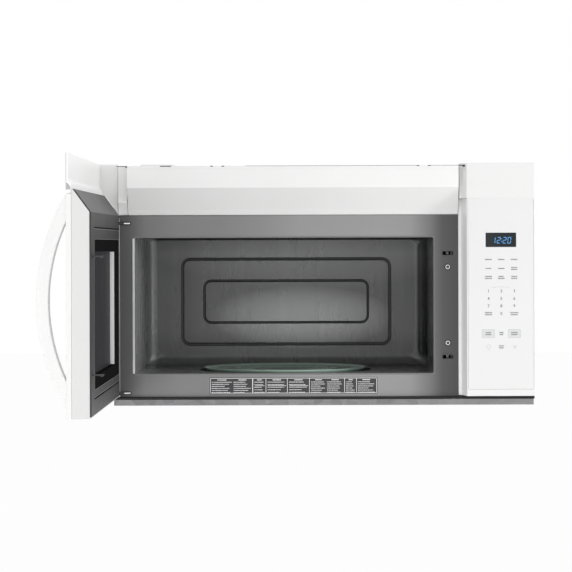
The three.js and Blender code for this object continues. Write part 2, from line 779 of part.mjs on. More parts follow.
const hookTipY = doorInnerY + hookReach;
const hookBack = 6; // barb's back face behind the tip
const pocketHeight = 6;
const springBottom = latchUpper + 14.4;
const springTop = springBottom + springLength;
const stopZ = [springTop + seat, springTop + seat + 3];

function innerCover() {
  const low = doorBottom + coverLift;
  const outline = [
    [doorInnerY, low],
    [doorInnerY, slopeFoot],
    [slopeY(doorShelf, 0), doorShelf],
    [slopeY(doorShelf, coverThickness), doorShelf],
    [doorInnerY - coverThickness, slopeHeight(doorInnerY - coverThickness, coverThickness)],
    [doorInnerY - coverThickness, low],
  ];
  const left = doorLeft + hingeBar + seat;
  const slab = prism(outline, 'x', [left, columnLeft]);
  const plan = [
    [left, frontY],
    [doorEdge(frontY, seat), frontY],
    [doorEdge(doorInnerY + 1, seat), doorInnerY + 1],
    [left, doorInnerY + 1],
  ];
  const through = [doorInnerY - coverThickness - 1, doorInnerY + 1];
  const [cutLeft, cutRight, cutBottom, cutTop] = coverCut;
  let cover = slab.intersect(prism(plan, 'z', [low - 1, doorShelf + 1]))
    .subtract(block([cutLeft, cutRight], through, [cutBottom, cutTop]));
  const hookPass = hookWidth + 3;
  for (const z of [latchUpper, latchLower]) {
    const height = [z - latchSlot[1] / 2 - 1, z + latchSlot[1] / 2 + latchTravel + 1];
    cover = cover.subtract(block(around(latchX, hookPass), through, height));
  }
  for (const z of hingeHeights) {
    const pocketX = [left - 1, hingeX + hingeSlot[0] + hingeSlot[1] + 5];
    cover = cover.subtract(block(pocketX, through, around(z, pocketHeight)));
  }
  return cover;
}

const glassFaceY = doorInnerY - 0.7;

function glassRange() {
  const [left, right, bottom, top] = coverCut;
  return { x: [left + seat, right - seat], z: [bottom + seat, top - seat] };
}

function innerGlass() {
  const { x, z } = glassRange();
  return block(x, [glassFaceY - glassThickness, glassFaceY], z);
}

function doorScreen() {
  const { x, z } = glassRange();
  const y = [flangeY + seat, glassFaceY - glassThickness - seat];
  const rim = 1;
  const insideX = [x[0] + rim, x[1] - rim];
  const insideZ = [z[0] + rim, z[1] - rim];
  return block(x, y, z).subtract(block(insideX, [y[0] + 0.8, y[1] + 1], insideZ));
}

const handleX = columnLeft - doorGap - handleSetIn + handleWidth / 2;
const screwShank = 2;
const handleScrewHeights = [handleBottom + handleFoot / 2, handleTop - handleFoot / 2];

// Points of an arc that bows out from y = base by reach between two heights.
function bow(base, reach, low, high, steps) {
  const half = (high - low) / 2;
  const radius = (half * half + reach * reach) / (2 * reach);
  const points = [];
  for (let i = 0; i <= steps; i += 1) {
    const z = low + ((high - low) * i) / steps;
    const out = Math.sqrt(radius * radius - (z - low - half) ** 2) - (radius - reach);
    points.push([base - out, z]);
  }
  return points;
}

function handle() {
  const base = frontY - seat;
  const outer = bow(base, handleReach - seat, handleBottom, handleTop, 22);
  const inner = bow(base, handleFingerGap, handleBottom + handleFoot, handleTop - handleFoot, 16);
  const bar = prism([...outer, ...inner.reverse()], 'x', around(handleX, handleWidth));
  const bores = handleScrewHeights.map((z) => rod(screwShank + seat, 'y', [base - 9, base + 1],
    [handleX, z], 12));
  return bar.subtract(joined(bores));
}

function handleScrew(z) {
  const head = [frontY + wall + seat, frontY + wall + seat + 2.4];
  const shank = [frontY - 8, head[0] + 1];
  return rod(4, 'y', head, [handleX, z], 16).add(rod(screwShank, 'y', shank, [handleX, z], 12));
}

function latchLever() {
  const barY = [flangeY + seat, flangeY + seat + 5];
  const barZ = [latchLower - 12, springBottom - seat];
  let lever = block(around(latchX, 14), barY, barZ);
  const root = barY[0] + 1;
  for (const z of [latchUpper, latchLower]) {
    const low = z - latchSlot[1] / 2 + seat;
    const high = low + hookShank;
    const outline = [
      [root, low],
      [hookTipY - hookBack, low],
      [hookTipY - hookBack + 1, low - hookBarb],
      [hookTipY - hookBack + 3, low - hookBarb],
      [hookTipY, high - 1],
      [hookTipY, high],
      [root, high],
    ];
    lever = lever.add(prism(outline, 'x', around(latchX, hookWidth)));
  }
  return lever;
}

function latchSpring() {
  const coilRadius = 3.2;
  const wireRadius = 0.6;
  const turns = 6;
  const stepsPerTurn = 10;
  const points = [];
  const low = springBottom + wireRadius;
  const high = springTop - wireRadius;
  const centreY = flangeY + seat + coilRadius + wireRadius;
  for (let i = 0; i <= turns * stepsPerTurn; i += 1) {
    const angle = (i / stepsPerTurn) * 2 * Math.PI;
    const z = low + ((high - low) * i) / (turns * stepsPerTurn);
    const x = latchX + coilRadius * Math.cos(angle);
    points.push(new THREE.Vector3(x, centreY + coilRadius * Math.sin(angle), z));
  }
  const path = new THREE.CatmullRomCurve3(points);
  const section = new THREE.Shape(circle(wireRadius, [0, 0], 5).map(([u, v]) => new THREE.Vector2(u, v)));
  const options = { steps: turns * stepsPerTurn, bevelEnabled: false, extrudePath: path };
  return toSolid(new THREE.ExtrudeGeometry(section, options));
}

function hingeBracket(index) {
  const z = hingeHeights[index];
  const plateX = [hingeX + 1, hingeX + 27];
  const plateZ = index === 0 ? [z - 10, z + 38] : [z - 36, faceTop - sheet - seat];
  const plate = block(plateX, [behindFace, behindFace + 2], plateZ);
  const rear = behindFace + 1;
  const band = [hingeX + hingeSlot[0] + 1, hingeX + hingeSlot[0] + hingeSlot[1] - 1.5];
  const armOutline = [
    [band[0], rear],
    [band[0], faceY - 1.2],
    [hingeX - 1, hingeY + 4.3],
    [hingeX - 4.2, hingeY + 1.4],
    [hingeX - 4.2, hingeY - 1.4],
    [hingeX - 1.4, hingeY - 4.2],
    [hingeX + 1.4, hingeY - 4.2],
    [band[1], faceY - 2],
    [band[1], rear],
  ];
  const arm = prism(armOutline, 'z', around(z, armThickness));
  const pinZ = index === 0 ? [z, z + hingePinReach] : [z - hingePinReach, z];
  return joined([plate, arm, rod(hingePinRadius, 'z', pinZ, [hingeX, hingeY], 16)]);
}

// ---------------------------------------------------------------- latching inside the body

const switchWidth = 10.3;
const boardWallX = latchX + switchWidth / 2 + seat;
const plungerFront = hookTipY + 0.6;
const switchFront = plungerFront + 4.4;
const switchDepth = 16;
const switchLength = 28;
const plungerSize = [4, 4.4];
const plungerLength = 8;

function latchBoard() {
  const flange = block([latchX - 18, boardWallX + 6], [behindFace, behindFace + wall],
    [latchLower - 28, latchUpper + 28]);
  const side = block([boardWallX, boardWallX + wall], [behindFace + 1, switchFront + switchDepth + 8],
    [latchLower - 28, latchUpper + 28]);
  let board = flange;
  for (const z of [latchUpper, latchLower]) {
    const pass = block(around(latchX, latchSlot[0] + 4), [behindFace - 1, behindFace + wall + 1],
      around(z, latchSlot[1] + 8));
    board = board.subtract(pass);
  }
  board = board.add(side);
  const catchY = [behindFace, hookTipY - hookBack - seat];
  const guideY = [behindFace, behindFace + 7];
  const catchX = [latchX - 6, boardWallX + 1];
  for (const z of [latchUpper, latchLower]) {
    const slotLow = z - latchSlot[1] / 2;
    const slotHigh = z + latchSlot[1] / 2;
    board = board.add(block(catchX, catchY, [slotLow - 4, slotLow]));
    board = board.add(block(catchX, guideY, [slotHigh, slotHigh + 4]));
  }
  for (const z of latchScrewHeights) {
    board = board.subtract(rod(screwShank + seat, 'y', [behindFace - 1, behindFace + wall + 1],
      [latchX, z], 12));
  }
  return board;
}

function interlockSwitch(z) {
  const depth = [switchFront, switchFront + switchDepth];
  const bore = block(around(latchX, plungerSize[0] + 2 * seat), [switchFront - 1, switchFront + 6],
    around(z, plungerSize[1] + 2 * seat));
  return block(around(latchX, switchWidth), depth, around(z, switchLength)).subtract(bore);
}

function switchPlunger(z) {
  return block(around(latchX, plungerSize[0]), [plungerFront, plungerFront + plungerLength],
    around(z, plungerSize[1]));
}

// ---------------------------------------------------------------- oven parts

function waveguide() {
  const x = [bayLeft, bayLeft + guideSize[2]];
  const y = around(guideCentre[0], guideSize[0]);
  const z = around(guideCentre[1], guideSize[1]);
  const skin = 1.2;
  const hollow = block([x[0] + skin, x[1] - skin], [y[0] + skin, y[1] - skin], [z[0] + skin, z[1] - skin]);
  const port = block([x[0] - 1, x[0] + skin + 1], around(guideCentre[0], guidePort[0]),
    around(guideCentre[1], guidePort[1]));
  const antenna = rod(antennaRadius + 4, 'x', [x[1] - skin - 1, x[1] + 1], antennaCentre, 16);
  return block(x, y, z).subtract(hollow).subtract(port).subtract(antenna);
}

const antennaRadius = 8;
const antennaCentre = [guideCentre[0] + 42, guideCentre[1]];

function waveguideCover() {
  const x = [cavityRight - seat - 0.5, cavityRight - seat];
  return block(x, around(guideCentre[0], guidePort[0] + 20), around(guideCentre[1], guidePort[1] + 20));
}

function magnetron() {
  const start = bayLeft + guideSize[2] + seat;
  const [y, z] = antennaCentre;
  const plate = block([start, start + 2], around(y, 95), around(z, 90));
  const anode = rod(20, 'x', [start + 1, start + 66], [y, z], 16);
  const filterBox = block([start + 64, start + 104], around(y, 70), around(z, 66));
  const antenna = rod(antennaRadius, 'x', [start - 18, start + 1], [y, z], 12);
  const fins = [];
  const finCount = 7;
  for (let i = 0; i < finCount; i += 1) {
    const x = start + 8 + i * 7.5;
    fins.push(block([x, x + 1.2], around(y, 80), around(z, 74)));
  }
  return joined([plate, anode, filterBox, antenna, ...fins]);
}

const bayFloor = baseFloor + seat;

function hvTransformer() {
  const x = around(bayLeft + 107, 90);
  const y = [faceY + 50, faceY + 120];
  const z = [bayFloor, bayFloor + 88];
  const core = block(x, y, z);
  const coil = block([x[0] + 22, x[1] - 22], [y[0] - 15, y[1] + 15], [z[0] + 19, z[1] - 19]);
  const lugs = [x[0] - 8, x[1] - 2].map((lug) => block([lug, lug + 10], y, [z[0], z[0] + 3]));
  return joined([core, coil, ...lugs]);
}

function hvCapacitor() {
  const centre = [bayLeft + 120, faceY + 180];
  const can = prism(roundedRect(centre, 52, 32, 15.5, 5), 'z', [bayFloor, bayFloor + 95]);
  const tabs = [-12, 12].map((shift) => block(around(centre[0] + shift, 6),
    around(centre[1], 1), [bayFloor + 94, bayFloor + 106]));
  return joined([can, ...tabs]);
}

function ovenLamp() {
  const x = [bayLeft, bayLeft + 3];
  const plate = block(x, around(lampCentre[0], 34), around(lampCentre[1], 34));
  const bulb = rod(9, 'x', [x[0] + 2, x[0] + 34], lampCentre, 16);
  return plate.add(bulb);
}

const motorTop = recessFloor - sheet - seat;
const turntableAxis = [cavityCentreX, cavityMidY];
const shaftRadius = 3.5;
const trayBottom = recessFloor + seat + 2 * rollerRadius + seat;

function turntableMotor() {
  const can = rod(motorRadius, 'z', [motorTop - motorHeight, motorTop], turntableAxis, 24);
  const ears = block(around(turntableAxis[0], 2 * motorRadius + 18), around(turntableAxis[1], 12),
    [motorTop - 1.5, motorTop]);
  const shaft = rod(shaftRadius, 'z', [motorTop - 1, trayBottom - 4], turntableAxis, 12);
  return joined([can, ears, shaft]);
}

function driveCoupler() {
  const z = [recessFloor + 4 * seat, trayBottom - seat];
  const [x, y] = turntableAxis;
  let lobes = rod(11, 'z', z, turntableAxis, 24);
  const armCount = 3;
  for (let i = 0; i < armCount; i += 1) {
    const angle = (i / armCount) * 2 * Math.PI;
    const centre = [x + 17 * Math.cos(angle), y + 17 * Math.sin(angle)];
    lobes = lobes.add(rod(7, 'z', z, centre, 16));
  }
  return lobes.subtract(rod(shaftRadius + pinAir, 'z', [z[0] - 1, trayBottom - 3], turntableAxis, 12));
}

function glassTray() {
  const low = trayBottom;
  const top = low + trayThickness;
  const profile = [
    [0, low],
    [trayRadius - 14.5, low],
    [trayRadius - 2.5, low + 4.9],
    [trayRadius, low + 7.9],
    [trayRadius - 2, low + 8.4],
    [trayRadius - 16.5, top],
    [0, top],
  ];
  let tray = turned(profile, turntableAxis, 64);
  const lugCount = 3;
  const [x, y] = turntableAxis;
  for (let i = 0; i < lugCount; i += 1) {
    const angle = ((i + 0.5) / lugCount) * 2 * Math.PI;
    const centre = [x + 19 * Math.cos(angle), y + 19 * Math.sin(angle)];
    tray = tray.add(rod(3, 'z', [low - 3, low + 1], centre, 12));
  }
  return tray;
}

const rollerZ = recessFloor + seat + rollerRadius;
const ringThickness = 3;
const rollerCount = 3;
const rollerTurns = [0, 1, 2].map((i) => (i / rollerCount) * 2 * Math.PI);

// Moves a solid's geometry to one of the roller stations; it is drawn on the +X side.
function atStation(geometryParts, angle) {
  const turn = new THREE.Matrix4().makeRotationZ(angle);
  turn.setPosition(turntableAxis[0], turntableAxis[1], 0);
  return joined(geometryParts.map(([geometry, matrix]) => toSolid(geometry, turn.clone().multiply(matrix))));
}

// A short cylinder whose axis is radial, drawn on the +X side of the turntable axis.
function radialRod(radius, from, to, sides) {
  const geometry = new THREE.CylinderGeometry(radius, radius, to - from, sides);
  const matrix = new THREE.Matrix4().makeRotationZ(Math.PI / 2);
  matrix.setPosition((from + to) / 2, 0, rollerZ);
  return [geometry, matrix];
}

function rollerRing() {
  const ringZ = around(rollerZ, ringThickness);
  let ring = pipe(rollerCircle + 11, rollerCircle - 11, 'z', ringZ, turntableAxis, 48);
  const pocket = rollerWidth / 2 + 0.6;
  for (const angle of rollerTurns) {
    const size = [2 * pocket, 2 * (rollerRadius + 1), ringThickness + 2];
    const slot = [new THREE.BoxGeometry(...size), new THREE.Matrix4().makeTranslation(rollerCircle, 0, rollerZ)];
    ring = ring.subtract(atStation([slot], angle));
    ring = ring.add(atStation([radialRod(1.2, rollerCircle - pocket - 2, rollerCircle + pocket + 2, 12)], angle));
  }
  return ring;
}

function roller(angle) {
  const [from, to] = around(rollerCircle, rollerWidth);
  const wheel = atStation([radialRod(rollerRadius, from, to, 20)], angle);
  return wheel.subtract(atStation([radialRod(1.2 + seat, from - 1, to + 1, 12)], angle));
}

// ---------------------------------------------------------------- cooling and ventilation

const fanCentre = [(bayLeft + insideCase) / 2, 210];
const shroudY = -75;

function fanShroud() {
  const x = [bayLeft, insideCase];
  const plate = block(x, [shroudY, shroudY + 2], around(fanCentre[1], 170));
  return plate.subtract(rod(fanRadius + fanAir, 'y', [shroudY - 1, shroudY + 3], fanCentre, 32));
}

const fanMotorFront = shroudY + 25;

function fanMotor() {
  const [x, z] = fanCentre;
  const core = block(around(x, 56), [fanMotorFront, fanMotorFront + 30], around(z, 46));
  const bar = block(around(x, 2 * fanRadius + 30), [fanMotorFront - 2, fanMotorFront], around(z, 14));
  const legs = [-1, 1].map((side) => {
    const legX = around(x + side * (fanRadius + 13), 4);
    return block(legX, [shroudY + 2 + seat, fanMotorFront - 1], around(z, 14));
  });
  const shaft = rod(2.5, 'y', [fanMotorFront - 16, fanMotorFront + 1], fanCentre, 12);
  return joined([core, bar, ...legs, shaft]);
}

function fanBlade() {
  const [x, z] = fanCentre;
  const hubY = [shroudY + 3, fanMotorFront - 3];
  let rotor = rod(13, 'y', hubY, fanCentre, 20);
  const bladeCount = 5;
  for (let i = 0; i < bladeCount; i += 1) {
    const blade = new THREE.BoxGeometry(fanRadius - 8, 1.6, 30);
    const matrix = new THREE.Matrix4().makeTranslation(x, (hubY[0] + hubY[1]) / 2, z);
    matrix.multiply(new THREE.Matrix4().makeRotationY((i / bladeCount) * 2 * Math.PI));
    matrix.multiply(new THREE.Matrix4().makeTranslation(8 + (fanRadius - 8) / 2 - 2, 0, 0));
    matrix.multiply(new THREE.Matrix4().makeRotationX(Math.PI / 7));
    rotor = rotor.add(toSolid(blade, matrix));
  }
  return rotor.subtract(rod(2.5 + pinAir, 'y', [fanMotorFront - 17, hubY[1] + 1], fanCentre, 12));
}

const blowerFloor = deckTop + seat;
const blowerTop = caseTop - sheet - 2 * seat;
const blowerZ = (blowerFloor + blowerTop) / 2;
const blowerY = -90;
const scrollOuter = (blowerTop - blowerFloor) / 2;
const scrollInner = wheelRadius + 3;
const scrollX = [44, 44 + wheelLength + 12];

// Outline of one scroll: a spiral that opens into a straight outlet towards the front.
function scrollOutline(inset) {
  const steps = 30;
  const tongue = (150 / 180) * Math.PI;
  const end = 2.5 * Math.PI;
  const points = [];
  for (let i = 0; i <= steps; i += 1) {
    const angle = tongue + ((end - tongue) * i) / steps;
    const radius = scrollInner + ((scrollOuter - scrollInner) * i) / steps - inset;
    points.push([blowerY + radius * Math.cos(angle), blowerZ + radius * Math.sin(angle)]);
  }
  const outletY = blowerY - scrollOuter - 30 - (inset > 0 ? 1 : 0);
  const [first, last] = [points[0], points[steps]];
  points.push([outletY, last[1]]);
  points.push([outletY, first[1] + 2 * inset]);
  points.push([first[0], first[1] + 2 * inset]);
  return points;
}

function blowerHousing() {
  const skin = 1;
  const inletRadius = wheelRadius - 8;
  const scrolls = [-1, 1].map((side) => {
    const outerX = [side * scrollX[0], side * scrollX[1]].sort((a, b) => a - b);
    const innerX = [outerX[0] + skin, outerX[1] - skin];
    const shell = prism(scrollOutline(0), 'x', outerX);
    const hollow = prism(scrollOutline(skin), 'x', innerX);
    const inlet = rod(inletRadius, 'x', [outerX[0] - 1, outerX[1] + 1], [blowerY, blowerZ], 24);
    return shell.subtract(hollow).subtract(inlet);
  });
  const base = block([-scrollX[1], scrollX[1]], around(blowerY, 60), [blowerFloor, blowerFloor + 2]);
  const cheekZ = [blowerFloor, blowerZ - inletRadius - 1];
  const cheeks = [scrollX[0], scrollX[1] - skin, -scrollX[0] - skin, -scrollX[1]].map((x) => block(
    [x, x + skin], around(blowerY, 60), cheekZ,
  ));
  const saddle = block([-14, 14], around(blowerY, 30), [blowerFloor + 1, blowerZ - blowerMotorRadius + 5]);
  const seatCut = rod(blowerMotorRadius + seat, 'x', [-20, 20], [blowerY, blowerZ], 24);
  return joined([...scrolls, base, ...cheeks, saddle.subtract(seatCut)]);
}

const blowerShaftRadius = 3;

function blowerMotor() {
  const can = rod(blowerMotorRadius, 'x', [-34, 34], [blowerY, blowerZ], 24);
  return can.subtract(rod(blowerShaftRadius + pinAir, 'x', [-36, 36], [blowerY, blowerZ], 12));
}

function blowerWheels() {
  const inner = scrollX[0] + 6;
  const outer = inner + wheelLength;
  const cup = [
    [0, inner],
    [wheelRadius, inner],
    [wheelRadius, outer],
    [wheelRadius - 4, outer],
    [wheelRadius - 4, inner + 2],
    [0, inner + 2],
  ];
  const right = turnedAlongX(cup, [blowerY, blowerZ]);
  const leftProfile = cup.map(([r, x]) => [r, -x]).reverse();
  const left = turnedAlongX(leftProfile, [blowerY, blowerZ]);
  const shaft = rod(blowerShaftRadius, 'x', [-inner - 1, inner + 1], [blowerY, blowerZ], 12);
  return joined([left, right, shaft]);
}

const ductCoverZ = [caseTop + seat, caseTop + seat + sheet];

function ductCover() {
  const margin = 8;
  return block(around(0, ductWidth + 2 * margin), [ductY[0] - margin, ductY[1] + margin], ductCoverZ);
}

function greaseFilter(centre) {
  const z = [baseFloor + seat, baseFloor + seat + filterThickness];
  const x = around(centre, filterWidth);
  const y = [filterFront, filterFront + filterLength];
  const border = 6;
  const dish = block([x[0] + border, x[1] - border], [y[0] + border, y[1] - border], [z[0] - 1, z[0] + 0.8]);
  return block(x, y, z).subtract(dish);
}

// ---------------------------------------------------------------- lamps, board, screws

const lampAir = 1.5;
const lampHingeZ = 1.2;
const lampHingeY = lampOpening.y[1] - 2.8;

function lampCover() {
  const x = [lampOpening.x[0] + lampAir, lampOpening.x[1] - lampAir];
  const y = [lampOpening.y[0] + lampAir, lampHingeY + 0.9];
  const plate = block(x, y, [0.2, 2.2]);
  const pinX = [lampOpening.x[0] + seat, lampOpening.x[1] - seat];
  return plate.add(rod(0.8, 'x', pinX, [lampHingeY, lampHingeZ], 10));
}

function cooktopLamp() {
  const low = baseFloor + seat;
  const bridgeZ = [low + 20, low + 22];
  const y = [lampOpening.y[0] + 8, lampOpening.y[1] - 12];
  const legs = [lampOpening.x[0] - 6, lampOpening.x[1] + 2].map((x) => block([x, x + 4], y, [low, bridgeZ[1]]));
  const bridge = block([lampOpening.x[0] - 6, lampOpening.x[1] + 6], y, bridgeZ);
  const bulb = block([lampOpening.x[0] + 18, lampOpening.x[1] - 18], [y[0] + 4, y[1] - 4], [low + 8, bridgeZ[1]]);
  return joined([...legs, bridge, bulb]);
}

function cordBushing() {
  const neck = cordHoleRadius - seat;
  const profile = [
    [6, caseTop - sheet - 3],
    [neck, caseTop - sheet - 3],
    [neck, caseTop + seat],
    [neck + 3, caseTop + seat],
    [neck + 3, caseTop + 2.4],
    [6, caseTop + 2.4],
    [6, caseTop - sheet - 3],
  ];
  return turned(profile, cordHole, 20);
}

function frameScrew(z) {
  const head = [faceY - seat - 0.9, faceY - seat];
  const ring = pipe(4.5, 1.6, 'y', head, [latchX, z], 20);
  return ring.add(rod(screwShank, 'y', [head[1] - 0.3, faceY + 8], [latchX, z], 12));
}

// ---------------------------------------------------------------- assembly

const microwave = new THREE.Group();
microwave.name = 'microwave';
const body = new THREE.Group();
body.position.set(0, 0, -unitHeight / 2);
microwave.add(body);

// The door group turns about the hinge pins; its pieces are drawn closed.
const doorSwing = new THREE.Group();
doorSwing.position.set(hingeX, hingeY, 0);
doorSwing.rotation.z = THREE.MathUtils.degToRad(-doorOpenDegrees);
body.add(doorSwing);
const door = new THREE.Group();
door.position.set(-hingeX, -hingeY, 0);
doorSwing.add(door);

function add(parent, name, solid, material) {
  const data = solid.getMesh();
  const geometry = new THREE.BufferGeometry();
  geometry.setAttribute('position', new THREE.BufferAttribute(data.vertProperties, data.numProp));
  geometry.setIndex(new THREE.BufferAttribute(data.triVerts, 1));
  geometry.computeVertexNormals();
  const mesh = new THREE.Mesh(geometry, material);
  mesh.name = name;
  parent.add(mesh);
}

add(body, 'rear_panel', rearPanel(), finishes.galvanised);
add(body, 'outer_case', outerCase(), finishes.whitePaint);
add(body, 'base_plate', basePlate(), finishes.galvanised);
add(body, 'bottom_trim', bottomTrim(), finishes.blackPlastic);
add(body, 'face_frame', faceFrame(), finishes.greyPaint);
add(body, 'cavity_liner', cavityLiner(), finishes.cavityPaint);
add(body, 'top_deck', topDeck(), finishes.galvanised);
add(body, 'vent_housing', ventHousing(), finishes.whitePlastic);
add(body, 'charcoal_filter', charcoalFilter(), finishes.charcoal);
add(body, 'control_frame', controlFrame(), finishes.whitePlastic);
add(body, 'control_top_trim', controlTopTrim(), finishes.whitePlastic);
add(body, 'touch_panel', touchPanel(), finishes.whitePlastic);
add(body, 'display_window', displayWindow(), finishes.displayLens);
add(body, 'control_board', controlBoard(), finishes.circuitGreen);

add(door, 'door_front', doorFront(), finishes.whitePlastic);
add(door, 'door_trim', doorTrim(), finishes.whitePlastic);
add(door, 'door_window', doorWindow(), finishes.darkGlass);
add(door, 'door_box', doorBox(), finishes.whitePlastic);
add(door, 'inner_cover', innerCover(), finishes.greyPaint);
add(door, 'inner_glass', innerGlass(), finishes.darkGlass);
add(door, 'door_screen', doorScreen(), finishes.blackPlastic);
add(door, 'handle', handle(), finishes.whitePlastic);
add(door, 'handle_screw_lower', handleScrew(handleScrewHeights[0]), finishes.brightSteel);
add(door, 'handle_screw_upper', handleScrew(handleScrewHeights[1]), finishes.brightSteel);
add(door, 'latch_lever', latchLever(), finishes.blackPlastic);
add(door, 'latch_spring', latchSpring(), finishes.brightSteel);

add(body, 'hinge_lower', hingeBracket(0), finishes.brightSteel);
add(body, 'hinge_upper', hingeBracket(1), finishes.brightSteel);
add(body, 'latch_board', latchBoard(), finishes.whitePlastic);
add(body, 'interlock_switch_upper', interlockSwitch(latchUpper), finishes.blackPlastic);
add(body, 'interlock_switch_lower', interlockSwitch(latchLower), finishes.blackPlastic);
add(body, 'switch_plunger_upper', switchPlunger(latchUpper), finishes.whitePlastic);
add(body, 'switch_plunger_lower', switchPlunger(latchLower), finishes.whitePlastic);

add(body, 'waveguide', waveguide(), finishes.galvanised);
add(body, 'waveguide_cover', waveguideCover(), finishes.mica);
add(body, 'magnetron', magnetron(), finishes.brightSteel);
add(body, 'hv_transformer', hvTransformer(), finishes.copper);
add(body, 'hv_capacitor', hvCapacitor(), finishes.brightSteel);
add(body, 'oven_lamp', ovenLamp(), finishes.frosted);
add(body, 'turntable_motor', turntableMotor(), finishes.galvanised);
add(body, 'drive_coupler', driveCoupler(), finishes.frosted);
add(body, 'glass_tray', glassTray(), finishes.trayGlass);
add(body, 'roller_ring', rollerRing(), finishes.blackPlastic);
for (const [index, angle] of rollerTurns.entries()) {
  add(body, `roller_${index + 1}`, roller(angle), finishes.blackPlastic);
}

add(body, 'fan_shroud', fanShroud(), finishes.galvanised);
add(body, 'fan_motor', fanMotor(), finishes.galvanised);
add(body, 'fan_blade', fanBlade(), finishes.blackPlastic);
add(body, 'blower_housing', blowerHousing(), finishes.galvanised);
add(body, 'blower_motor', blowerMotor(), finishes.galvanised);
add(body, 'blower_wheels', blowerWheels(), finishes.blackPlastic);
add(body, 'duct_cover', ductCover(), finishes.galvanised);
add(body, 'grease_filter_left', greaseFilter(filterCentres[0]), finishes.filterMesh);
add(body, 'grease_filter_right', greaseFilter(filterCentres[1]), finishes.filterMesh);

add(body, 'cooktop_lamp', cooktopLamp(), finishes.galvanised);
add(body, 'lamp_cover', lampCover(), finishes.frosted);
add(body, 'cord_bushing', cordBushing(), finishes.blackPlastic);
add(body, 'frame_screw_lower', frameScrew(latchScrewHeights[0]), finishes.brightSteel);
add(body, 'frame_screw_upper', frameScrew(latchScrewHeights[1]), finishes.brightSteel);

export default microwave;
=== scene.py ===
import json
import math
import random

import bmesh
import bpy
from mathutils import Euler, Matrix, Vector


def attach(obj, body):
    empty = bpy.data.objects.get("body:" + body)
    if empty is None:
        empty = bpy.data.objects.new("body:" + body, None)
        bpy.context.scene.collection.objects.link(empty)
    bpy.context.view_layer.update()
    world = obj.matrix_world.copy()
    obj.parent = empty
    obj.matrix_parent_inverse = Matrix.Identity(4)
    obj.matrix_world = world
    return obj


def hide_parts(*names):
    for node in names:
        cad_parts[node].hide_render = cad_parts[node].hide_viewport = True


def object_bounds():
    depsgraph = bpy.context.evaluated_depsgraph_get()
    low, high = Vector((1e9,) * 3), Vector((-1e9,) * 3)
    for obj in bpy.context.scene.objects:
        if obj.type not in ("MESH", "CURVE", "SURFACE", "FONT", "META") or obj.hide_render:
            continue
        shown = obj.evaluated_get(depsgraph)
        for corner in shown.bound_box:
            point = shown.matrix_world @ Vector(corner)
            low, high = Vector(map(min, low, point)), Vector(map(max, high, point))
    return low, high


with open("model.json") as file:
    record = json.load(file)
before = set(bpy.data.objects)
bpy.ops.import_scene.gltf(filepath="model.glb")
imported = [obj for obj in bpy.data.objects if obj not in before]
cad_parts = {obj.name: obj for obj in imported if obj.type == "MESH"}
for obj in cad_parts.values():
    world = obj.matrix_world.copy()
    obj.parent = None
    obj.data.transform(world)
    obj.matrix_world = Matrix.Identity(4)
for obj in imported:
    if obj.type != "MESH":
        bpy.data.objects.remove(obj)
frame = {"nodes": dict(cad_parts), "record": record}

cad_box = [list(corner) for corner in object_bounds()]

MM = 0.001
PHOTO = 572  # the photograph's width and height in pixels
scene = bpy.context.scene
scene.view_settings.view_transform = "Standard"


# ------------------------------------------------------------------ shader maths

class Val:
    """A value in a node tree: arithmetic on it adds Math nodes."""

    def __init__(self, nodes, socket):
        self.nodes = nodes
        self.socket = socket

    def _math(self, operation, *values, clamp=False):
        settings = {"operation": operation, "use_clamp": clamp}
        node = self.nodes.node("ShaderNodeMath", settings, dict(enumerate(values)))
        return Val(self.nodes, node.outputs[0])

    def __add__(self, other):
        return self._math("ADD", self, other)

    def __sub__(self, other):
        return self._math("SUBTRACT", self, other)

    def __rsub__(self, other):
        return self._math("SUBTRACT", other, self)

    def __mul__(self, other):
        return self._math("MULTIPLY", self, other)

    def __truediv__(self, other):
        return self._math("DIVIDE", self, other)

    def __gt__(self, other):
        return self._math("GREATER_THAN", self, other)

    def __lt__(self, other):
        return self._math("LESS_THAN", self, other)

    def __abs__(self):
        return self._math("ABSOLUTE", self)

    __radd__ = __add__
    __rmul__ = __mul__

    def clamp(self):
        return self._math("ADD", self, 0.0, clamp=True)

    def power(self, exponent):
        return self._math("POWER", self, exponent)

    def larger(self, other):
        return self._math("MAXIMUM", self, other)

    def repeat(self, pitch):
        """0 to pitch, again and again."""
        return self._math("FLOORED_MODULO", self, pitch)

    def rise(self, start, length):
        """0 at a start, rising to 1 over a length, which is negative where it rises the other way."""
        return ((self - start) / length).clamp()

    def stretch(self, low, high):
        """A 0 to 1 value stretched to low to high."""
        return self * (high - low) + low


class Nodes:
    """A node tree being built."""

    def __init__(self, tree):
        self.tree = tree
        tree.nodes.clear()

    def node(self, kind, settings=None, values=None):
        """A node with its settings, and then the values or links of its sockets."""
        node = self.tree.nodes.new(kind)
        for key, setting in (settings or {}).items():
            if key == "stops":
                self._stops(node.color_ramp, setting)
            else:
                setattr(node, key, setting)
        for key, value in (values or {}).items():
            self.feed(node.inputs[key], value)
        return node

    def feed(self, socket, value):
        if isinstance(value, Val):
            value = value.socket
        if isinstance(value, bpy.types.NodeSocket):
            self.tree.links.new(value, socket)
        elif socket.type == "RGBA":
            socket.default_value = (*value, 1)
        else:
            socket.default_value = value

    def _stops(self, ramp, stops):
        while len(ramp.elements) < len(stops):
            ramp.elements.new(0.5)
        for element, (position, color) in zip(ramp.elements, stops):
            element.position = position
            element.color = (*color, 1)

    def backdrop_rays(self):
        """1 for the rays that see a white backdrop: from the camera, a mirror or glass."""
        rays = self.node("ShaderNodeLightPath").outputs
        seen = Val(self, rays["Is Camera Ray"]).larger(Val(self, rays["Is Glossy Ray"]))
        return seen.larger(Val(self, rays["Is Transmission Ray"]))


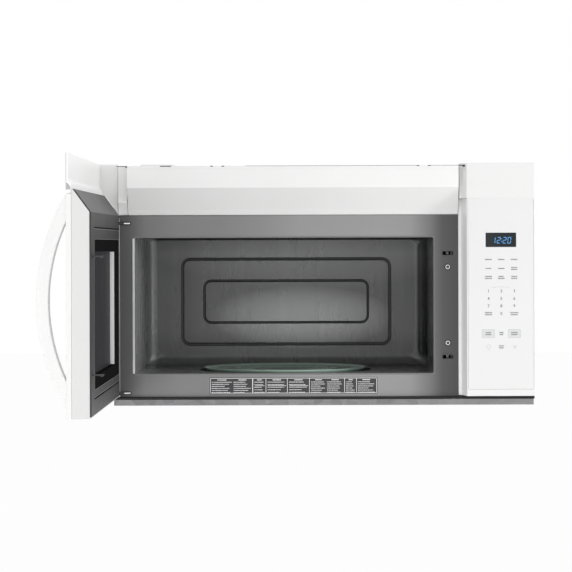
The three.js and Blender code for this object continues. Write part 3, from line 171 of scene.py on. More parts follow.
class Paint(Nodes):
    """A material being built. Its Principled shader is self.shader."""

    def __init__(self, name):
        self.material = bpy.data.materials.new(name)
        self.material.use_nodes = True
        super().__init__(self.material.node_tree)
        self.shader = self.node("ShaderNodeBsdfPrincipled")
        self.output = self.node("ShaderNodeOutputMaterial", values={"Surface": self.shader.outputs[0]})

    def coords(self, squeeze=None):
        """Object coordinates in metres. A pattern on them can be squeezed along each axis."""
        plain = self.node("ShaderNodeTexCoord").outputs["Object"]
        if not squeeze:
            return plain
        values = {"Vector": plain, "Scale": [1 / share for share in squeeze]}
        return self.node("ShaderNodeMapping", {"vector_type": "TEXTURE"}, values).outputs[0]

    def axes(self):
        """X, Y and Z in metres, as values."""
        parts = self.node("ShaderNodeSeparateXYZ", values={0: self.coords()}).outputs
        return [Val(self, part) for part in parts]

    def noise(self, scale, detail=2.0, rough=0.5, squeeze=None):
        values = {"Vector": self.coords(squeeze), "Scale": scale, "Detail": detail, "Roughness": rough}
        return Val(self, self.node("ShaderNodeTexNoise", values=values).outputs[0])

    def cells(self, scale, output="Distance"):
        """Round grains: the distance from each cell's middle, or the cell's own colour."""
        values = {"Vector": self.coords(), "Scale": scale}
        return Val(self, self.node("ShaderNodeTexVoronoi", values=values).outputs[output])

    def flakes(self, scale):
        """One grey value for each cell of a crystal pattern."""
        grey = self.node("ShaderNodeRGBToBW", values={0: self.cells(scale, "Color")})
        return Val(self, grey.outputs[0])

    def holes(self, pitch, radius):
        """1 inside round holes in square rows along Y and Z."""
        _, y, z = self.axes()
        row = y.repeat(pitch) - pitch / 2
        column = z.repeat(pitch) - pitch / 2
        return (row * row + column * column).power(0.5) < radius

    def blend(self, factor, first, second, kind="MIX"):
        """Two colours mixed by a factor."""
        settings = {"data_type": "RGBA", "blend_type": kind}
        return self.node("ShaderNodeMix", settings, {0: factor, 6: first, 7: second}).outputs[2]

    def bump(self, height, distance, strength=1.0):
        values = {"Height": height, "Distance": distance, "Strength": strength}
        self.feed(self.shader.inputs["Normal"], self.node("ShaderNodeBump", values=values).outputs[0])

    def set(self, **values):
        """Principled sockets, with spaces written as underscores."""
        for key, value in values.items():
            self.feed(self.shader.inputs[key.replace("_", " ")], value)


# ------------------------------------------------------------------ materials

def toned(color, share):
    """A colour made darker or lighter."""
    return tuple(share * part for part in color)


def white_skin(paint, rough, peel):
    """The gloss and the fine orange peel that all white mouldings and paints share."""
    paint.set(Roughness=paint.noise(38.0, 4.0).stretch(rough - 0.05, rough + 0.07), IOR=1.5)
    paint.bump(paint.noise(420.0, 2.0) + paint.noise(60.0, 1.0) * 2.0, peel)
    return paint.material


def moulded_white(name, color, rough, peel=0.000025):
    """White moulding or enamel with soft mottling."""
    paint = Paint(name)
    paint.set(Base_Color=paint.blend(paint.noise(7.0, 3.0), toned(color, 0.965), color))
    return white_skin(paint, rough, peel)


COLUMN_WALL_X = 0.2562  # left of this the column's skin is its wall beside the oven, painted lighter as painted light, in metres


def column_plastic_with_painted_light():
    """White moulding of the control column, painted lighter on the wall beside the oven as painted light."""
    paint = Paint("column_white")
    x, _, _ = paint.axes()
    # painted light: the wall beside the oven gets a lighter white than the rest
    side = (x < COLUMN_WALL_X) * 0.12 + 0.82
    white = paint.node("ShaderNodeCombineColor", values={0: side, 1: side, 2: side * 0.995})
    paint.set(Base_Color=white.outputs[0])
    return white_skin(paint, 0.3, 0.000025)


PAINTED_LIGHT_LEFT, PAINTED_LIGHT_RIGHT = -0.375, 0.265  # the face frame's ends, where the painted light ramp runs, in metres
FACE_PAINTED_LIGHT = (  # X in metres, and how light the enamel is painted there: painted light, with painted shade by the door and by the column
    (-0.366, 0.085), (-0.352, 0.115), (-0.322, 0.21), (-0.259, 0.235), (-0.187, 0.222), (-0.114, 0.245),
    (-0.042, 0.295), (0.03, 0.3), (0.102, 0.305), (0.156, 0.292), (0.192, 0.19), (0.214, 0.097),
    (0.235, 0.08))


def face_enamel():
    """Metallic grey enamel of the face frame: fine grain, and a broad band of painted light that fades to
    painted shade at both ends.
    """
    paint = Paint("face_grey")
    x, _, _ = paint.axes()
    broad = paint.noise(4.0, 3.0, 0.5, (1, 1, 0.25))
    speck = paint.noise(1500.0, 2.0)
    across = PAINTED_LIGHT_RIGHT - PAINTED_LIGHT_LEFT
    stops = [((at - PAINTED_LIGHT_LEFT) / across, (tone, tone, tone)) for at, tone in FACE_PAINTED_LIGHT]
    # painted light and shade across the frame
    painted_sheen = paint.node("ShaderNodeValToRGB", {"stops": stops}, {0: (x - PAINTED_LIGHT_LEFT) / across}).outputs[0]
    grain = (broad * 0.6 + speck * 0.4).clamp()
    mottle = paint.blend(grain, (0.86, 0.86, 0.86), (1.0, 1.0, 1.0))
    paint.set(Base_Color=paint.blend(1.0, painted_sheen, mottle, "MULTIPLY"), Metallic=0.5, IOR=1.5)
    paint.set(Roughness=broad.stretch(0.44, 0.58))
    paint.bump(paint.noise(900.0, 2.0), 0.00003)
    return paint.material


def cover_enamel():
    """Grey baked enamel of the door's inner cover, with a fine grain and a satin sheen."""
    paint = Paint("cover_grey")
    mix = (paint.noise(5.0, 3.0) * 0.7 + paint.noise(1500.0, 2.0) * 0.3).clamp()
    paint.set(Base_Color=paint.blend(mix, (0.074, 0.074, 0.074), (0.096, 0.096, 0.096)), IOR=1.5)
    paint.set(Roughness=paint.noise(24.0, 3.0).stretch(0.46, 0.55), Metallic=0.7)
    paint.bump(paint.noise(900.0, 2.0), 0.00003)
    return paint.material


def cavity_enamel():
    """Dark metallic oven enamel: fine speckle and drawn streaks up the walls, with painted light and shade:
    painted highlights on the back wall, painted light on the left wall and floor, and painted shade low down
    and at the right end.
    """
    paint = Paint("cavity_enamel")
    speck = paint.noise(700.0, 3.0, 0.6)
    cloud = paint.noise(9.0, 4.0)
    streak = paint.noise(34.0, 4.0, 0.6, (1, 1, 0.06))
    x, _, z = paint.axes()
    across = (x + 0.04) / 0.18
    up = (z + 0.068) / 0.062
    painted_hot_spot = (1 - across * across - up * up).clamp()  # painted highlight low on the back wall
    wide = (x + 0.02) / 0.34
    painted_upper_light = (1 - abs(z - 0.055) / 0.075 - wide * wide).clamp()  # and a softer painted highlight above it
    # painted light on the left wall and on the floor
    painted_lit_left_wall = x.rise(-0.32, -0.012)
    painted_lit_floor = z.rise(-0.14, -0.012)
    # painted shade towards the bottom and towards the right end
    foot = z.rise(-0.095, -0.03)
    painted_shade_right_end = x.rise(0.08, 0.12)
    grain = speck * 0.07 + cloud * 0.07 + streak * 0.07
    painted_lift = painted_hot_spot * 0.42 + painted_upper_light * 0.2 + painted_lit_left_wall + painted_lit_floor * 0.44
    mix = (grain + 0.02 + painted_lift - foot * 0.04 - painted_shade_right_end * 0.01).clamp()
    paint.set(Base_Color=paint.blend(mix, (0.03, 0.0303, 0.032), (0.4, 0.402, 0.405)), Metallic=0.3)
    paint.set(Roughness=(cloud * 0.5 + streak * 0.5).stretch(0.2, 0.36), Specular_IOR_Level=0.3)
    paint.bump(speck * 0.4 + streak * 2.0, 0.0002)
    return paint.material


def galvanised_steel(name, dark, light, painted_right_light=0.0):
    """Zinc coated sheet with soft spangle and drawing marks; it can be painted lighter towards its right end,
    as a painted reflection.
    """
    paint = Paint(name)
    x, _, _ = paint.axes()
    streak = paint.noise(30.0, 4.0, 0.6, (0.4, 14, 14))
    mix = (paint.flakes(60.0) * 0.6 + streak * 0.4).clamp()
    # painted reflection: lighter towards the right end
    spangle_and_painted_light = mix + x.rise(0.1, 0.28) * painted_right_light
    paint.set(Base_Color=paint.blend(spangle_and_painted_light.clamp(), dark, light), Metallic=0.9)
    paint.set(Roughness=mix.stretch(0.3, 0.46))
    paint.bump(streak, 0.00002)
    return paint.material


def brushing(paint):
    """Fine marks of a brush drawn along X."""
    return paint.noise(160.0, 4.0, 0.6, (0.2, 6, 6))


def bright_steel(name, color, rough):
    """Plated steel with fine brushing."""
    paint = Paint(name)
    streak = brushing(paint)
    paint.set(Base_Color=paint.blend(streak, toned(color, 0.82), color), Metallic=1.0)
    paint.set(Roughness=streak.stretch(rough - 0.06, rough + 0.08))
    paint.bump(streak, 0.00001)
    return paint.material


ARM_MIDDLE = -0.04195  # the height half way between the hinge arms, in metres
ARM_REACH = 0.15315  # from there to each arm
ARM_BAND = 0.0011  # half the height of the bare band
PAINTED_SHADE_END = -0.3675  # painted shade: black covers what lies in front of this


def hinge_arm_steel():
    """Plated arm painted black over its front as painted shade, bare along a narrow band."""
    paint = Paint("hinge_steel")
    x, y, z = paint.axes()
    band = (abs(abs(z - ARM_MIDDLE) - ARM_REACH) < ARM_BAND) * (x > -0.3597) * (x < -0.3492)
    # painted shade: the arm's front is black, apart from the bare band
    painted_black_shade = (y < PAINTED_SHADE_END) * (1 - band)
    streak = brushing(paint)
    steel = paint.blend(streak, (0.56, 0.56, 0.57), (0.72, 0.72, 0.73))
    paint.set(Base_Color=paint.blend(painted_black_shade, steel, (0.02, 0.02, 0.021)), Metallic=1 - painted_black_shade)
    paint.set(Roughness=streak.stretch(0.26, 0.4) + painted_black_shade * 0.15)
    paint.bump(streak, 0.00001)
    return paint.material


LATCH_AXIS = (0.2243, -0.0375)  # X of the latch slots and the height half way between them, in metres
LEDGE = 0.0957  # how far above and below that height the pale ledges show
LEDGE_HALF = (0.005, 0.0028)  # half a ledge's width and height


def latch_board_painted_shade():
    """Moulding painted dark as painted shade in the slots; its two catch ledges, seen in the slots, are pale.
    """
    paint = Paint("latch_board")
    x, _, z = paint.axes()
    near = abs(x - LATCH_AXIS[0]) < LEDGE_HALF[0]
    ledge = abs(abs(z - LATCH_AXIS[1]) - LEDGE) < LEDGE_HALF[1]
    cloud = paint.noise(40.0, 3.0)
    dark = paint.blend(cloud, (0.012, 0.012, 0.013), (0.03, 0.03, 0.031))
    # painted shade: all but the ledges is dark
    paint.set(Base_Color=paint.blend(near * ledge, dark, (0.8, 0.8, 0.79)))
    paint.set(Roughness=cloud.stretch(0.4, 0.55))
    paint.bump(paint.noise(1300.0, 2.0), 0.00003)
    return paint.material


def matt_border(name, color):
    """Ceramic print on the back of the inner glass: dead flat, with a fine grain."""
    paint = Paint(name)
    paint.set(Base_Color=paint.blend(paint.noise(90.0, 3.0), color, toned(color, 1.7)))
    paint.set(Roughness=paint.noise(40.0).stretch(0.75, 0.95), Specular_IOR_Level=0.0)
    paint.bump(paint.noise(700.0), 0.00002)
    return paint.material


def window_pane():
    """Dark glossy pane with the fine dots of the screen behind it."""
    paint = Paint("window_pane")
    dot = paint.holes(0.0022, 0.0007)
    paint.set(Base_Color=paint.blend(dot, (0.045, 0.045, 0.05), (0.02, 0.02, 0.023)))
    paint.set(Roughness=paint.noise(7.0, 4.0, 0.6).stretch(0.3, 0.4), IOR=1.2, Specular_IOR_Level=0.03)
    return paint.material


def moulding(name, color, rough, fine=0.00004, shine=0.5):
    """Plain moulded plastic with spark-eroded grain."""
    paint = Paint(name)
    paint.set(Base_Color=paint.blend(paint.noise(12.0, 3.0), toned(color, 0.8), color))
    paint.set(Roughness=paint.noise(60.0, 3.0).stretch(rough - 0.05, rough + 0.06), Specular_IOR_Level=shine)
    paint.bump(paint.noise(1300.0, 2.0), fine)
    return paint.material


def dark_glass(name, tint, rough=0.03, shine=0.5):
    """Printed black glass: glossy, with faint smears that only dull the gloss."""
    paint = Paint(name)
    smear = paint.noise(9.0, 5.0, 0.6, (1, 1, 3))
    paint.set(Base_Color=paint.blend(paint.noise(5.0, 2.0), tint, toned(tint, 1.5)))
    paint.set(Roughness=smear.stretch(rough, rough + 0.05), IOR=1.52, Specular_IOR_Level=shine)
    return paint.material


def tray_glass():
    """Pressed soda-lime glass with a green body tint and faint ripples."""
    paint = Paint("tray_glass")
    ripple = paint.noise(40.0, 3.0)
    paint.set(Base_Color=paint.blend(ripple, (0.6, 0.83, 0.7), (0.74, 0.93, 0.82)), IOR=1.5)
    paint.set(Transmission_Weight=0.1, Roughness=ripple.stretch(0.02, 0.1))
    paint.bump(ripple, 0.0001, 0.6)
    return paint.material


def frosted_plastic():
    """Pale translucent moulding of the lamps, with a pebbled face."""
    paint = Paint("frosted_plastic")
    paint.set(Base_Color=paint.blend(paint.noise(30.0), (0.8, 0.83, 0.81), (0.88, 0.9, 0.88)))
    paint.set(Roughness=paint.noise(80.0).stretch(0.4, 0.55), Transmission_Weight=0.35)
    paint.bump(paint.cells(900.0), 0.0002, 0.5)
    return paint.material


def perforated_steel():
    """Black screen punched with rows of small round holes; the hole pattern is in the colour and bump."""
    paint = Paint("perforated_steel")
    hole = paint.holes(0.0026, 0.00085)
    paint.set(Base_Color=paint.blend(hole, (0.05, 0.05, 0.055), (0.004, 0.004, 0.004)), Metallic=0.3)
    paint.set(Roughness=paint.noise(50.0).stretch(0.35, 0.5))
    paint.bump(1 - hole, 0.0004)
    return paint.material


def filter_mesh():
    """Layered expanded aluminium: diamond openings over a darker layer."""
    paint = Paint("filter_mesh")
    x, y, _ = paint.axes()
    pitch = 0.006
    first = abs((x + y * 0.6).repeat(pitch) / pitch - 0.5)
    second = abs((x - y * 0.6).repeat(pitch) / pitch - 0.5)
    strand = (first.larger(second) * 2.0).power(3.0)
    paint.set(Base_Color=paint.blend(strand, (0.12, 0.12, 0.12), (0.78, 0.79, 0.8)), Metallic=0.85)
    paint.set(Roughness=paint.noise(90.0).stretch(0.3, 0.5))
    paint.bump(strand, 0.0012)
    return paint.material


def circuit_green():
    """Circuit board with patches of copper lanes."""
    paint = Paint("circuit_green")
    x, _, z = paint.axes()
    width = 0.0006
    lane = (z.repeat(0.004) < width).larger(x.repeat(0.009) < width)
    gate = paint.flakes(55.0) > 0.45
    paint.set(Base_Color=paint.blend(lane * gate, (0.03, 0.14, 0.07), (0.09, 0.3, 0.15)))
    paint.set(Roughness=paint.noise(70.0).stretch(0.3, 0.45))
    return paint.material


def charcoal_pad():
    """Loose black grains of the charcoal filter."""
    paint = Paint("charcoal_pad")
    grain = paint.cells(420.0)
    paint.set(Base_Color=paint.blend(grain, (0.01, 0.01, 0.01), (0.05, 0.05, 0.05)), Roughness=0.95)
    paint.bump(grain, 0.0012)
    return paint.material


def mica_sheet():
    """Dark flaky mica of the waveguide cover."""
    paint = Paint("mica_sheet")
    shade = paint.flakes(130.0)
    paint.set(Base_Color=paint.blend(shade, (0.045, 0.043, 0.04), (0.09, 0.085, 0.075)))
    paint.set(Roughness=shade.stretch(0.3, 0.5))
    return paint.material


def laminations():
    """Varnished transformer steel: thin sheets stacked on edge."""
    paint = Paint("laminations")
    _, y, _ = paint.axes()
    thick = 0.0008
    sheet = abs(y.repeat(thick) / thick - 0.5) * 2.0
    paint.set(Base_Color=paint.blend(sheet, (0.1, 0.08, 0.06), (0.28, 0.22, 0.16)), Metallic=0.6)
    paint.set(Roughness=paint.noise(60.0).stretch(0.35, 0.55))
    paint.bump(sheet, 0.0001)
    return paint.material


def glowing_digits():
    """Blue light of the clock's figures."""
    paint = Paint("glowing_digits")
    glow = paint.blend(paint.noise(200.0), (0.11, 0.42, 0.9), (0.18, 0.56, 1.0))
    paint.set(Base_Color=(0.02, 0.1, 0.3), Emission_Color=glow, Emission_Strength=1.0, Roughness=0.3)
    return paint.material


def ink(name, color):
    """Screen printed ink, a little uneven."""
    paint = Paint(name)
    paint.set(Base_Color=paint.blend(paint.noise(300.0), toned(color, 0.8), color))
    paint.set(Roughness=paint.noise(90.0).stretch(0.4, 0.55))
    return paint.material


WHITE_PLASTIC = moulded_white("white_plastic", (0.9, 0.9, 0.895), 0.3)
WHITE_PAINT = moulded_white("white_paint", (0.9, 0.9, 0.895), 0.36, 0.00004)
PANEL_FILM = moulded_white("panel_film", (0.815, 0.817, 0.815), 0.4, 0.00001)
COLUMN_WHITE = column_plastic_with_painted_light()
DOOR_WHITE = moulded_white("door_white", (0.86, 0.86, 0.855), 0.3)
BOX_WHITE = moulded_white("box_white", (0.73, 0.73, 0.725), 0.34)
HANDLE_WHITE = moulded_white("handle_white", (0.9, 0.9, 0.895), 0.26)
BEAD_GREY = moulding("bead_grey", (0.19, 0.19, 0.19), 0.3, 0.00001)
# painted shade on the edge of the door trim's white skin
EDGE_PAINTED_SHADE = moulding("edge_grey", (0.5, 0.5, 0.5), 0.4, 0.00001)
# painted highlight of the opening's hinge-side lip
LIP_PAINTED_HIGHLIGHT = moulding("lip_grey", (0.72, 0.72, 0.72), 0.25, 0.00001)
# painted shade in the back wall's grooves
GROOVE_PAINTED_SHADE = moulding("groove_enamel", (0.022, 0.022, 0.023), 0.35)
FACE_GREY = face_enamel()
COVER_GREY = cover_enamel()
CAVITY = cavity_enamel()
STEEL = galvanised_steel("galvanised_steel", (0.52, 0.53, 0.54), (0.66, 0.67, 0.68))
# the base's right end is painted lighter, a painted reflection
BASE_STEEL = galvanised_steel("base_steel", (0.09, 0.09, 0.092), (0.24, 0.24, 0.244), 0.52)
HINGE_STEEL = hinge_arm_steel()
MATT_BLACK = matt_border("matt_border", (0.008, 0.008, 0.008))
PANE = window_pane()
SCREW_STEEL = bright_steel("screw_steel", (0.86, 0.86, 0.87), 0.2)
SCREW_FACE = moulding("screw_face", (0.93, 0.93, 0.93), 0.3, 0.00001)
ALUMINIUM = bright_steel("aluminium_fins", (0.78, 0.78, 0.79), 0.35)
BLACK_GLOSS = moulding("black_gloss", (0.01, 0.01, 0.011), 0.3, 0.00001, 0.25)
BLACK_PLASTIC = moulding("black_plastic", (0.03, 0.03, 0.032), 0.45)
SOCKET_BLACK = matt_border("socket_black", (0.004, 0.004, 0.004))
LATCH_BOARD_PAINTED_SHADE = latch_board_painted_shade()
NATURAL = moulding("natural_plastic", (0.78, 0.77, 0.73), 0.45)
DOOR_GLASS = dark_glass("door_glass", (0.008, 0.008, 0.009))
LENS = dark_glass("display_lens", (0.012, 0.016, 0.018), 0.06, 0.2)
TRAY = tray_glass()
FROSTED = frosted_plastic()
SCREEN = perforated_steel()
MESH = filter_mesh()
BOARD = circuit_green()
CHARCOAL = charcoal_pad()
MICA = mica_sheet()
IRON = laminations()
DIGITS = glowing_digits()
PRINT = ink("print_grey", (0.12, 0.125, 0.13))
PALE_PRINT = ink("pale_print", (0.6, 0.61, 0.62))
KEY_FILM = ink("key_film", (0.77, 0.775, 0.775))
PLATE_DARK = ink("plate_dark", (0.03, 0.03, 0.032))
PLATE_PALE = ink("plate_pale", (0.88, 0.88, 0.88))


# ------------------------------------------------------------------ mesh helpers

def obj_from(name, bm, material, smooth=True):
    """An object with one material from a drawn mesh, which is used up."""
    mesh = bpy.data.meshes.new(name)
    bm.to_mesh(mesh)
    bm.free()
    mesh.materials.append(material)
    mesh.polygons.foreach_set("use_smooth", [smooth] * len(mesh.polygons))
    return in_scene(name, mesh)


def in_scene(name, data):
    """An object for a mesh, curve, lamp or camera, linked to the scene."""
    piece = bpy.data.objects.new(name, data)
    scene.collection.objects.link(piece)
    return piece


def plain_mesh(piece):
    """The mesh that an object shows once its modifiers are applied."""
    depsgraph = bpy.context.evaluated_depsgraph_get()
    return bpy.data.meshes.new_from_object(piece.evaluated_get(depsgraph), depsgraph=depsgraph)


def bake(piece):
    """Applies a piece's modifiers, so that it is left as a plain mesh."""
    mesh = plain_mesh(piece)
    piece.modifiers.clear()
    piece.data = mesh


def soften(piece, width, segments=3, angle=32):
    """Rounds the piece's hard edges and keeps its flats flat."""
    bevel = piece.modifiers.new("round", "BEVEL")
    bevel.width = width
    bevel.segments = segments
    bevel.limit_method = "ANGLE"
    bevel.angle_limit = math.radians(angle)
    bevel.use_clamp_overlap = True
    bevel.miter_outer = "MITER_ARC"
    weighted = piece.modifiers.new("flats", "WEIGHTED_NORMAL")
    weighted.keep_sharp = True
    bake(piece)


def merged_copy(node):
    """The CAD node's shape as a bmesh with shared corners and whole flat faces."""
    bm = bmesh.new()
    bm.from_mesh(frame["nodes"][node].data)
    bmesh.ops.remove_doubles(bm, verts=bm.verts, dist=2e-6)
    bmesh.ops.dissolve_limit(bm, angle_limit=math.radians(0.8), verts=bm.verts, edges=bm.edges,
                             delimit={"NORMAL"})
    return bm


BODY_OF = {node: body for body, nodes in frame["record"]["behaviour"]["bodies"].items() for node in nodes}


def rides(piece, body):
    """Puts a piece on a body."""
    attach(piece, body)


def stands_for(piece, node):
    """Puts a piece in the place of a CAD node, on the node's own body."""
    rides(piece, BODY_OF[node])
    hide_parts(node)


def dress(node, material, width=0.8, segments=3):
    """A node's shape with rounded edges, standing for the node."""
    piece = obj_from(node + "_finish", merged_copy(node), material)
    soften(piece, width * MM, segments)
    stands_for(piece, node)


def finish_node(node, material):
    """A CAD node whose shape is right keeps it and gets its material."""
    mesh = frame["nodes"][node].data
    mesh.materials.clear()
    mesh.materials.append(material)


# ------------------------------------------------------------------ drawing, in millimetres

UNIT_MIDDLE = 217.5  # heights are drawn from the base; the frame's origin is half way up
HINGE = (-372.8, -376.7)  # the door's hinge line, in X and Y


def to_frame(bm, swung=False):
    """Turns a mesh drawn in millimetres from the base, door closed, into the frame at rest."""
    if swung:
        hinge = Matrix.Translation((*HINGE, 0))
        bm.transform(hinge @ Matrix.Rotation(-math.pi / 2, 4, "Z") @ hinge.inverted())
    bm.transform(Matrix.Scale(MM, 4) @ Matrix.Translation((0, 0, -UNIT_MIDDLE)))


def place(x, y, z):
    """Millimetres from the base to the frame's metres."""
    return (x * MM, y * MM, (z - UNIT_MIDDLE) * MM)


def finished(name, bm, material, swung=False, bevel=0.0, segments=2, angle=32, smooth=True):
    """Closes, places and rounds a drawn shape."""
    bmesh.ops.recalc_face_normals(bm, faces=bm.faces)
    to_frame(bm, swung)
    piece = obj_from(name, bm, material, smooth)
    if bevel:
        soften(piece, bevel * MM, segments, angle)
    elif smooth:
        sharpen(piece, angle)
    return piece


def pattern(name, bm, material, smooth=False):
    """A small part drawn about its own middle, of which rows of copies are made."""
    bmesh.ops.recalc_face_normals(bm, faces=bm.faces)
    bm.transform(Matrix.Scale(MM, 4))
    return obj_from(name, bm, material, smooth)


def sharpen(piece, angle=32):
    """Smooth shading that keeps edges sharper than the angle."""
    piece.data.set_sharp_from_angle(angle=math.radians(angle))


def spot(point, depth, axis):
    """The place in space of an outline's point at a depth along an axis."""
    across, up = point
    return {"x": (depth, across, up), "y": (across, depth, up), "z": (across, up, depth)}[axis]


def drawn(draw, *shape, **options):
    """A new mesh with one drawn shape in it."""
    bm = bmesh.new()
    draw(bm, *shape, **options)
    return bm


def draw_prism(bm, outline, axis, low, high):
    """An outline carried along an axis. Outline points are (Y, Z), (X, Z) or (X, Y)."""
    first = [bm.verts.new(spot(point, low, axis)) for point in outline]
    last = [bm.verts.new(spot(point, high, axis)) for point in outline]
    bm.faces.new(first)
    bm.faces.new(last[::-1])
    for i in range(len(outline)):
        j = (i + 1) % len(outline)
        bm.faces.new((first[i], last[i], last[j], first[j]))


def draw_block(bm, x, y, z):
    """A block from its ranges along X, Y and Z."""
    draw_prism(bm, [(x[0], z[0]), (x[1], z[0]), (x[1], z[1]), (x[0], z[1])], "y", y[0], y[1])


def draw_loops(bm, loops, close=False, cap=False):
    """Skins between loops of equal count; loops are lists of 3-D points."""
    rings = [[bm.verts.new(point) for point in loop] for loop in loops]
    pairs = list(zip(rings, rings[1:]))
    if close:
        pairs.append((rings[-1], rings[0]))
    for ring, after in pairs:
        for i in range(len(ring)):
            j = (i + 1) % len(ring)
            bm.faces.new((ring[i], ring[j], after[j], after[i]))
    if cap:
        bm.faces.new(rings[0][::-1])
        bm.faces.new(rings[-1])
    return rings


def circle(centre, radius, count):
    """Points round a circle."""
    turns = [2 * math.pi * i / count for i in range(count)]
    return [(centre[0] + radius * math.cos(a), centre[1] + radius * math.sin(a)) for a in turns]


def rounded(centre, width, height, radius, steps=6):
    """Outline of a rectangle with round corners."""
    radius = max(radius, 0.01)
    points = []
    for side_u, side_v, turn in ((1, 1, 0), (-1, 1, 0.5), (-1, -1, 1), (1, -1, 1.5)):
        for i in range(steps + 1):
            a = (turn + 0.5 * i / steps) * math.pi
            points.append((centre[0] + side_u * (width / 2 - radius) + radius * math.cos(a),
                           centre[1] + side_v * (height / 2 - radius) + radius * math.sin(a)))
    return points


def draw_frame(bm, outer, inner, axis, low, high):
    """A flat ring between two outlines of equal count."""
    corners = ((outer, low), (outer, high), (inner, high), (inner, low))
    draw_loops(bm, [[spot(point, depth, axis) for point in line] for line, depth in corners], close=True)


def draw_rim(bm, centre, outer, inner, steps, axis, low, high):
    """A flat ring between two rectangles with round corners, each a (width, height, radius)."""
    draw_frame(bm, rounded(centre, *outer, steps), rounded(centre, *inner, steps), axis, low, high)


def draw_turned(bm, profile, centre, axis, sides=32):
    """A closed profile of (radius, depth) points turned about an axis through a centre."""
    loops = [[spot(point, depth, axis) for point in circle(centre, radius, sides)]
             for radius, depth in profile]
    draw_loops(bm, loops, cap=True)


def copies(name, part, count, first, step, material, turn=(0, 0, 0), spin=(0, 0, 0)):
    """A row of copies of a small part, made by Geometry Nodes and returned as one plain mesh.

    Every copy gets the turn, and each one after the first gets the spin once more.
    """
    tree = bpy.data.node_groups.new(name + "_row", "GeometryNodeTree")
    new_socket = tree.interface.new_socket
    for way in ("INPUT", "OUTPUT"):
        new_socket("Geometry", in_out=way, socket_type="NodeSocketGeometry")
    wanted = {"Part": ("NodeSocketObject", part), "Count": ("NodeSocketInt", count),
              "First": ("NodeSocketVector", first), "Step": ("NodeSocketVector", step),
              "Turn": ("NodeSocketVector", turn), "Spin": ("NodeSocketVector", spin)}
    keys = {label: new_socket(label, in_out="INPUT", socket_type=kind).identifier
            for label, (kind, _) in wanted.items()}

    nodes = Nodes(tree)
    given = nodes.node("NodeGroupInput").outputs
    line = {"Count": given["Count"], "Start Location": given["First"], "Offset": given["Step"]}
    points = nodes.node("GeometryNodeMeshLine", values=line).outputs["Mesh"]
    shape = nodes.node("GeometryNodeObjectInfo", values={"Object": given["Part"]}).outputs["Geometry"]
    number = nodes.node("GeometryNodeInputIndex").outputs[0]
    spun = nodes.node("ShaderNodeVectorMath", {"operation": "SCALE"}, {0: given["Spin"], "Scale": number})
    turned = nodes.node("ShaderNodeVectorMath", {"operation": "ADD"}, {0: given["Turn"], 1: spun.outputs[0]})
    row = {"Points": points, "Instance": shape, "Rotation": turned.outputs[0]}
    placed = nodes.node("GeometryNodeInstanceOnPoints", values=row).outputs["Instances"]
    spread = nodes.node("GeometryNodeRealizeInstances", values={"Geometry": placed}).outputs["Geometry"]
    painted = nodes.node("GeometryNodeSetMaterial", values={"Geometry": spread, "Material": material})
    nodes.node("NodeGroupOutput", values={0: painted.outputs["Geometry"]})

    holder = in_scene(name, bpy.data.meshes.new(name))
    modifier = holder.modifiers.new("row", "NODES")
    modifier.node_group = tree
    for label, (_, value) in wanted.items():
        modifier[keys[label]] = value
    bake(holder)
    return holder


def joined_up(name, pieces):
    """Several plain pieces as one."""
    bm = bmesh.new()
    materials = []
    for piece in pieces:
        start = len(bm.faces)
        bm.from_mesh(piece.data)
        bm.faces.ensure_lookup_table()
        for material in piece.data.materials:
            if material not in materials:
                materials.append(material)
        indexes = [materials.index(m) for m in piece.data.materials]
        for f in bm.faces[start:]:
            f.material_index = indexes[f.material_index] if indexes else 0
        bpy.data.objects.remove(piece)
    mesh = bpy.data.meshes.new(name)
    bm.to_mesh(mesh)
    bm.free()
    for material in materials:
        mesh.materials.append(material)
    return in_scene(name, mesh)


def spent(piece):
    """Removes a helper object that only served as a pattern."""
    bpy.data.objects.remove(piece)


def cut(piece, bm):
    """Takes a drawn shape out of a piece."""
    tool = finished(piece.name + "_cut", bm, piece.data.materials[0], smooth=False)
    taken = piece.modifiers.new("cut", "BOOLEAN")
    taken.object = tool
    taken.operation = "DIFFERENCE"
    taken.solver = "EXACT"
    bake(piece)
    spent(tool)


# ------------------------------------------------------------------ casing

CASE_HALF = 378.5
CASE_TOP = 432
DUCT_TOP = 433.3
FRONT_Y = -410
FACE_Y = -370
HOOK_SHARES = (-0.8, -0.27, 0.27, 0.8)  # where the slots for the hooks lie, in half widths of the casing
HOOK_Z = 30
PANEL_BEADS = ((-190, 150, 150), (-190, 330, 140), (190, 150, 150), (190, 330, 140))  # X, Z and height
BEAD_WIDTH = 330
BEAD_BAND = 14  # twice the width of the pressed band

dress("outer_case", WHITE_PAINT, 0.45)
finish_node("base_plate", BASE_STEEL)
dress("bottom_trim", BLACK_GLOSS, 0.4)
finish_node("face_frame", FACE_GREY)
dress("cavity_liner", CAVITY, 0.7)
dress("duct_cover", STEEL, 0.3)
dress("cord_bushing", BLACK_PLASTIC, 0.4)


